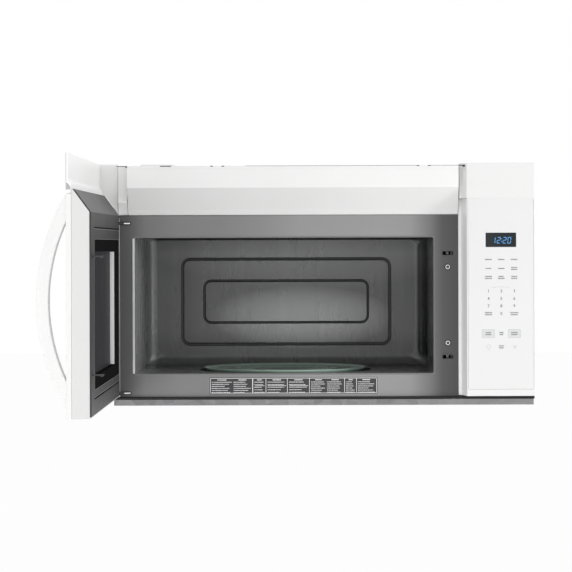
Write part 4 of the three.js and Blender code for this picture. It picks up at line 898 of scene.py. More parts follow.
def rear_panel():
    """Rear sheet with pressed beads and the slots that hang on the wall plate's hooks."""
    sheet = drawn(draw_block, (-CASE_HALF, CASE_HALF), (-1, -0.85), (0, CASE_TOP))
    panel = finished("rear_panel_sheet", sheet, STEEL, smooth=False)
    hooks = [(share * CASE_HALF, HOOK_Z) for share in HOOK_SHARES]
    slots = bmesh.new()
    for middle in hooks:
        draw_prism(slots, rounded(middle, 32, 6, 2.9, 4), "y", -3, 3)
    cut(panel, slots)
    beads = bmesh.new()
    pressed = ("y", -0.9, -0.04)
    for x, z, tall in PANEL_BEADS:
        outer = (BEAD_WIDTH, tall, 18)
        draw_rim(beads, (x, z), outer, (BEAD_WIDTH - BEAD_BAND, tall - BEAD_BAND, 11), 8, *pressed)
    for middle in hooks:
        draw_rim(beads, middle, (46, 20, 9), (40, 14, 6), 6, *pressed)
    raised = finished("rear_beads", beads, STEEL, bevel=0.3)
    whole = joined_up("rear_panel_finish", [panel, raised])
    sharpen(whole)
    stands_for(whole, "rear_panel")


def pan_screw():
    """A pan head with a cross recess, lying on the XY plane and facing up."""
    bm = bmesh.new()
    draw_turned(bm, [(3.6, 0), (3.6, 0.5), (3.2, 1.0), (2.2, 1.35), (0.8, 1.45)], (0, 0), "z", 20)
    cross = [(0.35, 0.35), (0.35, 1.9), (-0.35, 1.9), (-0.35, 0.35), (-1.9, 0.35), (-1.9, -0.35),
             (-0.35, -0.35), (-0.35, -1.9), (0.35, -1.9), (0.35, -0.35), (1.9, -0.35), (1.9, 0.35)]
    draw_prism(bm, cross, "z", 1.2, 1.47)
    screw = pattern("pan_screw", bm, SCREW_STEEL, True)
    sharpen(screw)
    return screw


UPRIGHT, TO_LEFT, TO_RIGHT = (0, 0, 0), (0, -math.pi / 2, 0), (0, math.pi / 2, 0)  # ways a screw can face
ALONG_ROOF, ALONG_DUCT = (0.17, 0, 0), (0.131, 0, 0)  # steps between screws, in metres
UP_SIDE, UP_FRONT = (0, 0, 0.115), (0, 0, 0.15)
SCREW_ROWS = (  # name, count, first screw, step and the way they face
    ("roof_front_screws", 5, (-340, -345, CASE_TOP), ALONG_ROOF, UPRIGHT),
    ("roof_rear_screws", 5, (-340, -12, CASE_TOP), ALONG_ROOF, UPRIGHT),
    ("duct_front_screws", 3, (-131, -113.5, DUCT_TOP), ALONG_DUCT, UPRIGHT),
    ("duct_rear_screws", 3, (-131, -23.5, DUCT_TOP), ALONG_DUCT, UPRIGHT),
    ("left_side_screws", 4, (-CASE_HALF, -12, 40), UP_SIDE, TO_LEFT),
    ("right_side_screws", 4, (CASE_HALF, -12, 40), UP_SIDE, TO_RIGHT),
    ("right_front_screws", 3, (CASE_HALF, -355, 60), UP_FRONT, TO_RIGHT),
)


def case_screws():
    """The screws that close the casing: along the roof, down both sides and on the duct cover."""
    screw = pan_screw()
    rows = [copies(name, screw, count, place(*first), step, SCREW_STEEL, turn)
            for name, count, first, step, turn in SCREW_ROWS]
    spent(screw)
    rides(joined_up("case_screws", rows), "body")


rear_panel()
case_screws()

# ------------------------------------------------------------------ vent

VENT_LEFT, VENT_RIGHT = -352, 242.7
VENT_FRONT = -405
VENT_TOP = 431
SLAT_ROWS = (-395.6, -390.4, -385.2, -380.0)  # Y of the louvres' slats


def vent():
    """Vent housing with a lip under its slope, a cap line along its top and slats in its louvres."""
    dress("vent_housing", WHITE_PLASTIC, 0.9)
    ends = (VENT_LEFT + 0.4, VENT_RIGHT - 0.4)
    bm = bmesh.new()
    lip = [(-376.95, 352.4), (-371.7, 343.75), (-370.7, 343.75), (-370.7, 347), (-375.5, 352.4)]
    draw_prism(bm, lip, "x", *ends)
    cap = [(VENT_FRONT - 0.45, 427), (VENT_FRONT - 0.45, VENT_TOP - 0.7), (VENT_FRONT + 0.6, VENT_TOP + 0.3),
           (VENT_FRONT + 2, VENT_TOP + 0.3), (VENT_FRONT + 2, 427)]
    draw_prism(bm, cap, "x", *ends)
    rides(finished("vent_lips", bm, WHITE_PLASTIC, bevel=0.25), "body")

    bm = drawn(draw_prism, [(-2.6, -1.4), (-2.0, -1.7), (2.6, 1.2), (2.0, 1.6)], "x", -17.6, 17.6)
    slat = pattern("vent_slat", bm, WHITE_PLASTIC)
    rows = [copies("slats_%d" % i, slat, 13, place(-318.65, y, 428.6), (0.044, 0, 0), WHITE_PLASTIC)
            for i, y in enumerate(SLAT_ROWS)]
    spent(slat)
    rides(joined_up("vent_slats", rows), "body")


def case_filler():
    """White filler between the case's edge and the vent."""
    section = [(-371.4, 430.7), (-386, 430.7), (-386, 366.0), (-372.0, 346.4), (-371.4, 344.6)]
    bm = drawn(draw_prism, section, "x", -369.2, -352.8)
    rides(finished("case_filler", bm, WHITE_PLASTIC, bevel=0.8, segments=3), "body")


TRIM_PADS = (  # ranges along X, Y and Z
    ((-372.4, -352.2), (-386.3, -384), (430.8, 431.9)),
    ((-356.0, -352.2), (-386.5, -384), (428.9, 431.4)),
    ((-368.5, -350.5), (-371.3, -370.2), (342.1, 343.5)),
    ((-292.5, -272.5), (-405.9, -404.4), (430.1, 431.6)),
    ((-202.5, -197.8), (-405.9, -404.4), (430.0, 431.5)),
    ((-182.2, -177.5), (-405.9, -404.4), (430.0, 431.5)),
    ((167.5, 172.2), (-405.9, -404.4), (430.0, 431.5)),
    ((187.8, 192.5), (-405.9, -404.4), (430.0, 431.5)),
    ((-140, 167), (-405.3, -404.6), (431.1, 431.5)),
    ((193, 241), (-405.3, -404.6), (431.1, 431.5)),
    ((241.2, 254.2), (-404.6, -398), (430.4, 431.9)),
    ((249.6, 254.2), (-404.6, -398), (428.8, 431.4)),
)


def black_pads():
    """Soft black pads between the front trims and the cabinet above."""
    bm = bmesh.new()
    for ranges in TRIM_PADS:
        draw_block(bm, *ranges)
    rides(finished("trim_pads", bm, BLACK_PLASTIC, bevel=0.2), "body")


vent()
case_filler()
black_pads()

# ------------------------------------------------------------------ face frame

CAVITY_MIDDLE = (-71, 179.75)
CAVITY_SIZE = (539.3, 245.5)
HINGE_SLOTS = ((-356.4, 22.4), (-356.4, 328.7))
LATCH_X = 224.3
LATCH_SLOTS = ((LATCH_X, 86.4), (LATCH_X, 273.6))
FRAME_SCREWS = {"frame_screw_lower": 111.35, "frame_screw_upper": 248.65}  # heights


def opening_bead():
    """Rolled edge round the cavity's opening, and a pale strip on its hinge side as a painted highlight."""
    section = [(2.4, 0.0), (2.0, -0.25), (1.3, -0.35), (0.6, -0.2), (-0.1, 0.3), (-0.5, 1.2),
               (-0.6, 2.4), (-0.6, 3.8), (0.5, 3.8), (0.6, 0.8), (2.4, 0.4)]  # outwards, and behind the face
    loops = []
    for out, behind in section:
        ring = rounded(CAVITY_MIDDLE, CAVITY_SIZE[0] + 2 * out, CAVITY_SIZE[1] + 2 * out, 1.4 + out, 8)
        loops.append([spot(point, FACE_Y + behind, "y") for point in ring])
    bead = finished("opening_ring", drawn(draw_loops, loops, close=True), BEAD_GREY, angle=50)
    # painted highlight: a pale strip on the hinge side of the opening
    bm = drawn(draw_block, (-344.9, -341.1), (FACE_Y - 0.9, FACE_Y - 0.02), (57.5, 301.5))
    lip = finished("hinge_side_lip", bm, LIP_PAINTED_HIGHLIGHT, bevel=0.6, segments=3)
    rides(joined_up("opening_bead", [bead, lip]), "body")


def slot_collars():
    """Black collars in the hinge and latch slots, and the dark lines at the catch ledges."""
    bm = bmesh.new()
    for middle in HINGE_SLOTS:
        draw_rim(bm, middle, (19.4, 7.0, 2.6), (15.8, 3.9, 1.6), 5, "y", FACE_Y - 0.45, FACE_Y + 1.1)
    for middle in LATCH_SLOTS:
        draw_rim(bm, middle, (19.9, 7.4, 1.4), (18.5, 6.0, 0.8), 4, "y", FACE_Y - 0.3, FACE_Y - 0.03)
    rides(finished("slot_collars", bm, BLACK_PLASTIC, bevel=0.15), "body")
    bm = bmesh.new()
    for heights in ((267.6, 268.3), (91.7, 92.4)):
        draw_block(bm, (LATCH_X - 9, LATCH_X + 9), (FACE_Y - 0.25, FACE_Y + 0.05), heights)
    rides(finished("slot_lines", bm, BLACK_PLASTIC), "body")


SCREW_PARTS = (  # name, profile of (radius, distance behind the face), and material
    ("washer", [(5.6, -0.02), (5.6, -0.25), (4.1, -0.35)], SOCKET_BLACK),
    ("ring", [(4.2, -0.3), (4.2, -1.0), (4.0, -1.25), (2.7, -1.3), (2.5, -1.1), (2.5, -0.5)], SCREW_FACE),
    ("socket", [(2.6, -0.4), (2.6, -1.34), (0.6, -1.34)], SOCKET_BLACK),
    ("pin", [(0.65, -0.5), (0.65, -1.38), (0.4, -1.42)], SCREW_FACE),
    ("shank", [(2, -0.4), (2, 8)], SCREW_STEEL),
)


def frame_screw(node, height):
    """Security screw: a bright ring round a dark socket, with a bright pin in its middle."""
    parts = []
    for name, profile, material in SCREW_PARTS:
        placed = [(radius, FACE_Y + behind) for radius, behind in profile]
        parts.append(finished(name, drawn(draw_turned, placed, (LATCH_X, height), "y"), material))
    stands_for(joined_up(node + "_finish", parts), node)


dice = random.Random(7)


def greeked(bm, x, z, length, height, depth, chunk=(0.9, 2.4), gap=0.45):
    """A line of unreadable print: short bars from x to x + length."""
    end = x + length
    while x < end - 0.3:
        wide = min(dice.uniform(*chunk), end - x)
        tall = height * dice.uniform(0.78, 1.0)
        draw_block(bm, (x, x + wide), depth, (z - tall / 2, z + tall / 2))
        x += wide + gap


PLATE_X = (-206.2, 96.9)
PLATE_Z = (20.2, 50.2)
PLATE_MARGIN = 1.6
RULE = 0.9  # the width of a ruled line
RULES = ((-128.5, 1.6), (-104.5, RULE), (-65.8, RULE), (-26.0, RULE), (37.5, RULE), (59.0, RULE))  # X, width
PLATE_COLUMNS = (  # left end, right end and lines of print
    (-202.2, -166, 6), (-163, -131, 6), (-125.5, -107, 5), (-101.5, -68, 5), (-62.5, -29, 5),
    (-23, 4, 6), (6, 35, 6), (40, 57, 6), (61.5, 91.9, 6))
STRIKES = ((-124, -107), (-101, -68), (-62, -28))  # short rules across three columns


def guide_plate():
    """Dark plate under the cavity with a ruled table of unreadable print."""
    (left, right), (low, high) = PLATE_X, PLATE_Z
    outline = rounded(((left + right) / 2, (low + high) / 2), right - left, high - low, 1.0, 3)
    plate = finished("plate", drawn(draw_prism, outline, "y", FACE_Y - 0.35, FACE_Y - 0.02), PLATE_DARK)
    ink_depth = (FACE_Y - 0.42, FACE_Y - 0.3)
    bm = bmesh.new()
    across = (left + PLATE_MARGIN, right - PLATE_MARGIN)
    upright = (low + PLATE_MARGIN, high - PLATE_MARGIN)
    for z in upright:
        draw_block(bm, across, ink_depth, (z - RULE / 2, z + RULE / 2))
    for x in across:
        draw_block(bm, (x - RULE / 2, x + RULE / 2), ink_depth, upright)
    for x, wide in RULES:
        draw_block(bm, (x - wide / 2, x + wide / 2), ink_depth, (low + 2, high - 2))
    for start, end, lines in PLATE_COLUMNS:
        room = end - start
        head = 0.45 * room
        greeked(bm, start + (room - head) / 2, high - 4.6, head, 1.9, ink_depth, gap=0.3)
        for line in range(lines):
            z = high - 8.6 - line * (high - low - 11.5) / (lines - 1)
            length = room * dice.uniform(0.6, 1.0)
            greeked(bm, start, z, length, 1.35, ink_depth, gap=0.5)
    for ends in STRIKES:
        draw_block(bm, ends, ink_depth, (34.6, 35.4))
    print_lines = finished("print", bm, PLATE_PALE, smooth=False)
    rides(joined_up("guide_plate", [plate, print_lines]), "body")


WALL_Y = -31.35
WALL_CURVE = 21.0  # radius of the join to the cavity's walls
TOP_SHARE = 0.2  # the curve along the top is this much of the others
GROOVES = ((407, 171, 18, 7.0), (321, 86, 16, 5.4))  # width, height, corner radius and the groove's own width
GROOVE_SECTION = ((0.0, 0.0), (0.1, 0.35), (0.28, 1.2), (0.5, 1.6), (0.72, 1.2), (0.9, 0.35), (1.0, 0.0))


def cavity_back():
    """Pressed back wall: two rounded grooves painted dark as painted shade, and a curved join to the walls.
    """
    wide, tall = CAVITY_SIZE[0] - 0.5, CAVITY_SIZE[1] - 0.5
    loops = []
    painted_shade_loops = set()

    def ring(width, height, radius, depth, rise=0.0):
        centre = (CAVITY_MIDDLE[0], CAVITY_MIDDLE[1] + rise)
        loops.append([spot(point, depth, "y") for point in rounded(centre, width, height, radius, 8)])

    for i in range(11):
        a = 0.5 * math.pi * i / 10
        inset = WALL_CURVE * (1 - math.cos(a))
        depth = WALL_Y - WALL_CURVE * (1 - math.sin(a))
        height = tall - inset * (1 + TOP_SHARE)
        ring(wide - 2 * inset, height, 3 + 0.8 * inset, depth, inset * (1 - TOP_SHARE) / 2)
    for width, height, radius, groove in GROOVES:
        for share, sink in GROOVE_SECTION:
            inset = share * groove
            # the groove's sunk faces get the painted shade
            if 0.1 < share <= 0.9:
                painted_shade_loops.add(len(loops))
            ring(width - 2 * inset, height - 2 * inset, radius - inset, WALL_Y + sink)
    bm = bmesh.new()
    rings = draw_loops(bm, loops)
    bm.faces.new(rings[-1])
    bm.faces.ensure_lookup_table()
    count = len(loops[0])
    for index, face in enumerate(bm.faces):
        if index // count + 1 in painted_shade_loops:
            face.material_index = 1
    to_frame(bm)
    bmesh.ops.recalc_face_normals(bm, faces=bm.faces)
    middle = max(bm.faces, key=lambda face: face.calc_area())
    if middle.normal.y > 0:
        bmesh.ops.reverse_faces(bm, faces=bm.faces)
    panel = obj_from("cavity_back", bm, CAVITY)
    panel.data.materials.append(GROOVE_PAINTED_SHADE)
    shell = panel.modifiers.new("sheet", "SOLIDIFY")
    shell.thickness = 0.3 * MM
    shell.offset = -1
    panel.modifiers.new("flats", "WEIGHTED_NORMAL")
    bake(panel)
    rides(panel, "body")


opening_bead()
slot_collars()
for node, height in FRAME_SCREWS.items():
    frame_screw(node, height)
guide_plate()
cavity_back()

# ------------------------------------------------------------------ control column

COLUMN_LEFT = 256.4
COLUMN_RIGHT = 378
COLUMN_BACK = -370.3
COLUMN_FRONT_EDGE = [(COLUMN_LEFT, FRONT_Y), (COLUMN_RIGHT, FRONT_Y), (COLUMN_RIGHT, COLUMN_BACK)]
LOWER_PLAN = [(243.4, COLUMN_BACK), (243.4, -371.6), (248.9, -374.6)] + COLUMN_FRONT_EDGE
UPPER_PLAN = [(244.2, COLUMN_BACK), (244.2, -389), (248.3, -391.4)] + COLUMN_FRONT_EDGE
SEAM_Z = 371.7
PANEL_X = (258.6, 376.3)
PANEL_Z = (29.6, 371.4)
DISPLAY_X = (290.2, 345.0)
DISPLAY_Z = (284.3, 310.0)


def column_part(name, node, plan, heights, tools):
    """An upright moulding of the column with its hollows cut out, standing for a node."""
    part = finished(name, drawn(draw_prism, plan, "z", *heights), COLUMN_WHITE, smooth=False)
    for tool in tools:
        cut(part, tool)
    soften(part, 0.9 * MM)
    stands_for(part, node)


def core_tool(front, right, low, high):
    """The hollow inside a moulding of the column."""
    plan = [(252, -365), (252, -373), (260.5, front), (right, front), (right, -365)]
    return drawn(draw_prism, plan, "z", low, high)


def column():
    """Control column: its frame, the trim above it, the seam between them and what lies in the frame."""
    recess = drawn(draw_block, PANEL_X, (FRONT_Y - 5, FRONT_Y + 1.8), (PANEL_Z[0], 380))
    hole = drawn(draw_block, DISPLAY_X, (FRONT_Y - 5, FRONT_Y + 10), DISPLAY_Z)
    column_part("column_frame", "control_frame", LOWER_PLAN, (17.5, PANEL_Z[1]),
                [recess, core_tool(-406, 374.5, 21, 368), hole])
    column_part("column_trim", "control_top_trim", UPPER_PLAN, (SEAM_Z, 435),
                [core_tool(-406.5, 375, 360, 432.4)])
    across = (COLUMN_LEFT + 1.4, COLUMN_RIGHT - 1)
    bm = drawn(draw_block, across, (FRONT_Y + 0.5, FRONT_Y + 3), (SEAM_Z - 1.3, SEAM_Z + 1))
    rides(finished("seam_backing", bm, COLUMN_WHITE, smooth=False), "body")
    dress("touch_panel", PANEL_FILM, 0.3)
    dress("display_window", LENS, 0.3)


# Pixels of the photograph. PX is across and PY down.
COLUMN_SCALE = 0.5583  # pixels to a millimetre on the column's front
COLUMN_RIGHT_PX = 534.4
EYE_PY, EYE_Z = 243.6, 290.7  # the camera's height on the photograph, and in millimetres
KEY_PX = (488.2, 501.0, 514.0)  # the three columns of keys
KEY_LABELS = ((259.6, (1, 1, 1)), (268.6, (1, 1, 2)), (277.6, (2, 2, 2)))  # PY, and the lines on each key
FIGURE_ROWS = ((291.2, "123"), (298.8, "456"), (306.2, "789"))
ZERO_PY = 313.8
FRAMED_PX, FRAMED_PY = (488.0, 514.0), 333.7  # the two framed keys
LAST_PY = 347.0
MARK_PX = 514.4  # the mark of three small rings
ARC_PX, ARC_PY = (491.3, 509.6), 287.4  # ends and height of the arc over the figures
LABELS = ((KEY_PX[0], ZERO_PY, 13.0), (KEY_PX[2], ZERO_PY, 16), (FRAMED_PX[0], FRAMED_PY, 12),
          (KEY_PX[1], FRAMED_PY, 8), (FRAMED_PX[1], FRAMED_PY, 12), (KEY_PX[1], LAST_PY, 11))  # of two lines
CLOCK_PIXEL = (502.0, 240.4)

LINE_PITCH = 3.5
FIGURE_HEIGHT = 5.2
KEY_FACE = (21.8, 14.2, 1.7)  # width, height and corner radius inside a framed key's outline
PRINT_Y = (FRONT_Y - 0.06, FRONT_Y + 0.02)


def panel_point(px, py):
    """Millimetres on the panel for a place on the photograph."""
    return COLUMN_RIGHT + (px - COLUMN_RIGHT_PX) / COLUMN_SCALE, EYE_Z + (EYE_PY - py) / COLUMN_SCALE


def lettering(text, pixel, material):
    """A plain figure standing on the panel, its middle at a place on the photograph."""
    name = "figure_" + text
    curve = bpy.data.curves.new(name, "FONT")
    curve.body = text
    curve.size = FIGURE_HEIGHT * 1.38
    curve.extrude = 0.05
    curve.offset = 0.09
    curve.align_x = "CENTER"
    curve.align_y = "CENTER"
    curve.resolution_u = 4
    drawn = in_scene(name, curve)
    mesh = plain_mesh(drawn)
    spent(drawn)
    x, z = panel_point(*pixel)
    mesh.transform(Matrix.Translation((x, FRONT_Y - 0.01, z)) @ Matrix.Rotation(math.pi / 2, 4, "X"))
    mesh.transform(Matrix.Scale(MM, 4) @ Matrix.Translation((0, 0, -UNIT_MIDDLE)))
    mesh.materials.clear()
    mesh.materials.append(material)
    return in_scene(name, mesh)


def label(bm, px, py, lines, width=13.0):
    """Lines of unreadable print about a place on the photograph."""
    x, z = panel_point(px, py)
    for line in range(lines):
        length = width * dice.uniform(0.72, 1.0)
        drop = (lines - 1) * LINE_PITCH / 2 - line * LINE_PITCH
        greeked(bm, x - length / 2, z + drop, length, 2.3, PRINT_Y, (0.8, 1.3), 0.45)


def panel_print():
    """Figures and unreadable labels printed on the touch panel."""
    bm = bmesh.new()
    for py, counts in KEY_LABELS:
        for px, lines in zip(KEY_PX, counts):
            label(bm, px, py, lines)
    for px, py, width in LABELS:
        label(bm, px, py, 2, width)
    dark = [finished("labels", bm, PRINT, smooth=False)]
    for py, text in FIGURE_ROWS:
        dark += [lettering(figure, (px, py), PRINT) for px, figure in zip(KEY_PX, text)]
    dark.append(lettering("0", (KEY_PX[1], ZERO_PY), PRINT))
    rides(joined_up("panel_print", dark), "body")


def draw_round_mark(bm, centre, outer, inner, steps=5):
    """A printed ring between two diameters."""
    draw_rim(bm, centre, (outer, outer, outer / 2), (inner, inner, inner / 2), steps, "y", *PRINT_Y)


def draw_arc(bm, steps=12):
    """The flat arc over the figures, in short steps."""
    ends = [panel_point(px, ARC_PY)[0] for px in ARC_PX]
    foot = panel_point(0, ARC_PY)[1]
    for i in range(steps):
        across = [ends[0] + (ends[1] - ends[0]) * (i + j) / steps for j in (0, 1)]
        rise = 1.4 * math.sin(math.pi * (i + 0.5) / steps)
        draw_block(bm, across, PRINT_Y, (foot + rise - 1.0, foot + rise - 0.4))


def panel_marks():
    """Key outlines and marks printed on the touch panel, and the framed keys' own faces."""
    framed = [panel_point(px, FRAMED_PY) for px in FRAMED_PX]
    bm = bmesh.new()
    for middle in framed:
        draw_rim(bm, middle, (23, 15.4, 2.2), KEY_FACE, 5, "y", *PRINT_Y)
    x, z = panel_point(KEY_PX[0], LAST_PY)
    draw_round_mark(bm, (x, z), 7.6, 6.4, 6)
    draw_block(bm, (x - 1.4, x + 1.4), PRINT_Y, (z - 5.6, z - 5.0))
    x, z = panel_point(MARK_PX, LAST_PY)
    draw_round_mark(bm, (x, z), 3.0, 1.8)
    for turn in range(3):
        a = turn * 2 * math.pi / 3 + 0.5
        draw_round_mark(bm, (x + 2.8 * math.cos(a), z + 2.8 * math.sin(a)), 2.8, 1.8)
    draw_arc(bm)
    rides(finished("panel_outlines", bm, PALE_PRINT, smooth=False), "body")
    bm = bmesh.new()
    for middle in framed:
        draw_prism(bm, rounded(middle, *KEY_FACE, 5), "y", FRONT_Y - 0.03, FRONT_Y + 0.02)
    rides(finished("panel_keys", bm, KEY_FILM, smooth=False), "body")


SEGMENTS = {"1": "bc", "2": "abged", "0": "abcdef"}
DIGIT_STARTS = (-18.2, -9.2, 1.4, 9.8)  # left ends of the four figures, from the clock's middle
DIGIT_WIDE, DIGIT_TALL = 6.0, 11.2
STROKE = 0.85
SLANT = 0.1
AIR = 0.35  # between a figure's corner and a segment's end


def segment_shapes(left, middle):
    """Outlines of a figure's seven segments, for its left end and its middle's height."""
    right = left + DIGIT_WIDE
    low, high = middle - DIGIT_TALL / 2, middle + DIGIT_TALL / 2
    near_left, near_right = left + AIR + STROKE, right - AIR - STROKE

    def flat(level, sign):
        inner = level - sign * STROKE
        return [(left + AIR, level), (right - AIR, level), (near_right, inner), (near_left, inner)]

    def upright(edge, inner, sign):
        end = (high if sign > 0 else low) - sign * AIR
        near = middle + sign * AIR
        return [(edge, end), (edge, near), (inner, near + sign * 0.3), (inner, end - sign * STROKE)]

    bar_high, bar_low = middle + STROKE / 2, middle - STROKE / 2
    return {
        "a": flat(high, 1), "d": flat(low, -1),
        "f": upright(left, left + STROKE, 1), "e": upright(left, left + STROKE, -1),
        "b": upright(right, right - STROKE, 1), "c": upright(right, right - STROKE, -1),
        "g": [(left + AIR + 0.4, middle), (near_left, bar_high), (near_right, bar_high),
              (right - AIR - 0.4, middle), (near_right, bar_low), (near_left, bar_low)],
    }


def clock_digits():
    """Glowing seven-segment figures behind the lens: 12:20."""
    middle_x, middle_z = panel_point(*CLOCK_PIXEL)
    bm = bmesh.new()

    def bar(points):
        slanted = [(x + (z - middle_z) * SLANT, z) for x, z in points]
        draw_prism(bm, slanted, "y", FRONT_Y + 0.14, FRONT_Y + 0.2)

    for start, figure in zip(DIGIT_STARTS, "1220"):
        shapes = segment_shapes(middle_x + start, middle_z)
        for key in SEGMENTS[figure]:
            bar(shapes[key])
    left, right = middle_x - 1.4, middle_x - 0.2
    for z in (middle_z + 2.2, middle_z - 2.6):
        bar([(left, z), (right, z), (right, z + 1.1), (left, z + 1.1)])
    rides(finished("clock_digits", bm, DIGITS, smooth=False), "body")


column()
panel_print()
panel_marks()
clock_digits()

# ------------------------------------------------------------------ door, drawn closed

DOOR_INNER = -371.5
SLOPE_FOOT = 342.5
SLOPE_RUN = 0.717
DOOR_CORNER_X = 254.5  # the free edge at the door's front
DOOR_SLANT = 13.1 / 39.7  # how much the free edge draws in towards the oven
HANDLE_X = 225
HANDLE_HALF = 14
HANDLE_OUTSIDE = (48.3, 30, 372, 72)  # reach, foot, head and steps of the handle's outer bow
HANDLE_INSIDE = (29, 73, 329, 56)


def door_edge(y):
    """X of the door's slanted free edge at a depth."""
    return DOOR_CORNER_X - DOOR_SLANT * (y - FRONT_Y)


def bow(base, reach, low, high, steps):
    """Points of an arc that bows out from a depth between two heights."""
    half = (high - low) / 2
    radius = (half * half + reach * reach) / (2 * reach)
    points = []
    for i in range(steps + 1):
        z = low + (high - low) * i / steps
        out = math.sqrt(max(radius * radius - (z - low - half) ** 2, 0)) - (radius - reach)
        points.append((base - out, z))
    return points


def handle():
    """Bow handle with rounded edges, standing on the door at both feet."""
    base = FRONT_Y - 0.3
    outline = bow(base, *HANDLE_OUTSIDE) + bow(base, *HANDLE_INSIDE)[::-1]
    bm = drawn(draw_prism, outline, "x", HANDLE_X - HANDLE_HALF, HANDLE_X + HANDLE_HALF)
    bar = finished("handle_finish", bm, HANDLE_WHITE, swung=True, bevel=5.5, segments=6, angle=40)
    stands_for(bar, "handle")


PAINTED_SHADOW_LINE = ((19.0, 0.2), (SLOPE_FOOT, 0.2), (378.4, 0.06))  # heights, and how far the painted shadow strip stands proud


def cover_shadow_line():
    """Painted shadow: a black strip between the white door box and the grey cover, along the door's free
    edge.
    """
    loops = []
    for z, proud in PAINTED_SHADOW_LINE:
        surface = DOOR_INNER - max(z - SLOPE_FOOT, 0) * SLOPE_RUN
        deep = surface - 2.5
        loops.append([(door_edge(surface) + proud, surface + 0.02, z), (door_edge(deep) + proud, deep, z),
                      (door_edge(deep) - 1.6, deep, z), (door_edge(surface) - 1.6, surface + 0.02, z)])
    bm = drawn(draw_loops, loops, cap=True)
    rides(finished("cover_seal", bm, BLACK_PLASTIC, swung=True, smooth=False), "door")


def trim_end():
    """Painted shade: grey strips on the edge of the trim's white skin and on the cove under it, at the door's
    free end.
    """
    strip = [(FRONT_Y, 388), (FRONT_Y, 434.4), (-409.2, 434.4), (-409.2, 388)]
    cove = [(FRONT_Y, 377.4), (FRONT_Y, 388), (-408.9, 388), (-405.5, 386.2), (-403.4, 383), (-402.4, 380),
            (-402.4, 377.4)]
    bm = bmesh.new()
    for outline in (strip, cove):
        loops = []
        for deep in (0.5, 0.0):
            ring = []
            for y, z in outline:
                proud = min(0.12, (y - FRONT_Y) * 0.1)
                ring.append((door_edge(y) + proud - deep, y, z))
            loops.append(ring)
        draw_loops(bm, loops, cap=True)
    rides(finished("trim_end", bm, EDGE_PAINTED_SHADE, swung=True, smooth=False), "door")


GLASS = {"x": (-361.7, 179.7), "z": (43.6, 318.9)}  # inner glass, door closed
BORDER = {"x": (-361.7, 168.5), "z": (58.0, 299.5)}  # its black border
WINDOW = {"x": (-248.0, 158.0), "z": (79.5, 279.7)}  # the sunk window in the border
GLASS_FRONT = -372.2
GLASS_REAR = -375.4
PANE_Y = -379.4  # the window's pane, seen from the oven


def box_outline(area, radius, grow=0.0, steps=5):
    """Rounded outline of an area given by its X and Z ranges."""
    (left, right), (low, high) = area["x"], area["z"]
    centre = ((left + right) / 2, (low + high) / 2)
    return rounded(centre, right - left + 2 * grow, high - low + 2 * grow, radius, steps)


def inner_glass():
    """Inner glass: grey edge, black border and the bead between them."""
    outer, inner = box_outline(GLASS, 1.5), box_outline(BORDER, 1.5)
    bm = drawn(draw_frame, outer, inner, "y", GLASS_REAR, GLASS_FRONT)
    rim = finished("glass_rim", bm, COVER_GREY, swung=True)
    outer, inner = box_outline(BORDER, 1.5, -0.05), box_outline(WINDOW, 2.5)
    bm = drawn(draw_frame, outer, inner, "y", GLASS_REAR, GLASS_FRONT - 0.05)
    border = finished("glass_border", bm, MATT_BLACK, swung=True)
    outer, inner = box_outline(BORDER, 1.5, 0.5), box_outline(BORDER, 1.5, -0.4)
    bm = drawn(draw_frame, outer, inner, "y", GLASS_FRONT - 0.4, GLASS_FRONT + 0.25)
    bead = finished("glass_bead", bm, BEAD_GREY, swung=True, bevel=0.2)
    stands_for(joined_up("inner_glass_finish", [rim, border, bead]), "inner_glass")


def window_recess():
    """The sunk window: its pane, its black jamb and the white liner at its hinge end."""
    bm = drawn(draw_prism, box_outline(WINDOW, 2.5, 1.0), "y", PANE_Y - 2, PANE_Y)
    rides(finished("pane", bm, PANE, swung=True), "door")
    outer, inner = box_outline(WINDOW, 2.5, 1.2), box_outline(WINDOW, 2.5)
    bm = drawn(draw_frame, outer, inner, "y", PANE_Y, GLASS_REAR - 0.1)
    rides(finished("window_jamb", bm, MATT_BLACK, swung=True), "door")
    left = WINDOW["x"][0]
    low, high = WINDOW["z"]
    bm = drawn(draw_block, (left - 0.2, left + 1.6), (PANE_Y, GLASS_FRONT - 0.02), (low + 1.5, high - 1.5))
    rides(finished("window_liner", bm, WHITE_PLASTIC, swung=True, bevel=0.4), "door")


def screen_sheet():
    """Perforated screen behind the border."""
    bm = bmesh.new()
    hole = box_outline(WINDOW, 2.5, 1.4)
    draw_frame(bm, box_outline(GLASS, 1.5), hole, "y", -377.2, -375.8)
    draw_frame(bm, box_outline(WINDOW, 2.5, 9.0), hole, "y", -381.6, -377.3)
    stands_for(finished("screen_finish", bm, SCREEN, swung=True), "door_screen")


def cover_groove():
    """Painted shade: a black strip in the gap round the inner glass, and the glass's pale lip inside it."""
    middle = box_outline(GLASS, 1.2, -2.0)
    deep = GLASS_FRONT - 0.3
    bm = drawn(draw_frame, box_outline(GLASS, 2.0, 0.15), middle, "y", deep, GLASS_FRONT + 0.12)
    rides(finished("cover_groove", bm, MATT_BLACK, swung=True), "door")
    bm = drawn(draw_frame, middle, box_outline(GLASS, 1.0, -3.2), "y", deep, GLASS_FRONT + 0.2)
    rides(finished("glass_lip", bm, BEAD_GREY, swung=True), "door")


dress("door_front", DOOR_WHITE, 1.0)
dress("door_trim", WHITE_PLASTIC, 0.8)
dress("door_box", BOX_WHITE, 0.8)
dress("inner_cover", COVER_GREY, 0.4)
dress("door_window", DOOR_GLASS, 0.4)
dress("latch_lever", BLACK_PLASTIC, 0.3)
handle()
cover_shadow_line()
trim_end()
inner_glass()
window_recess()
screen_sheet()
cover_groove()

# ------------------------------------------------------------------ turntable

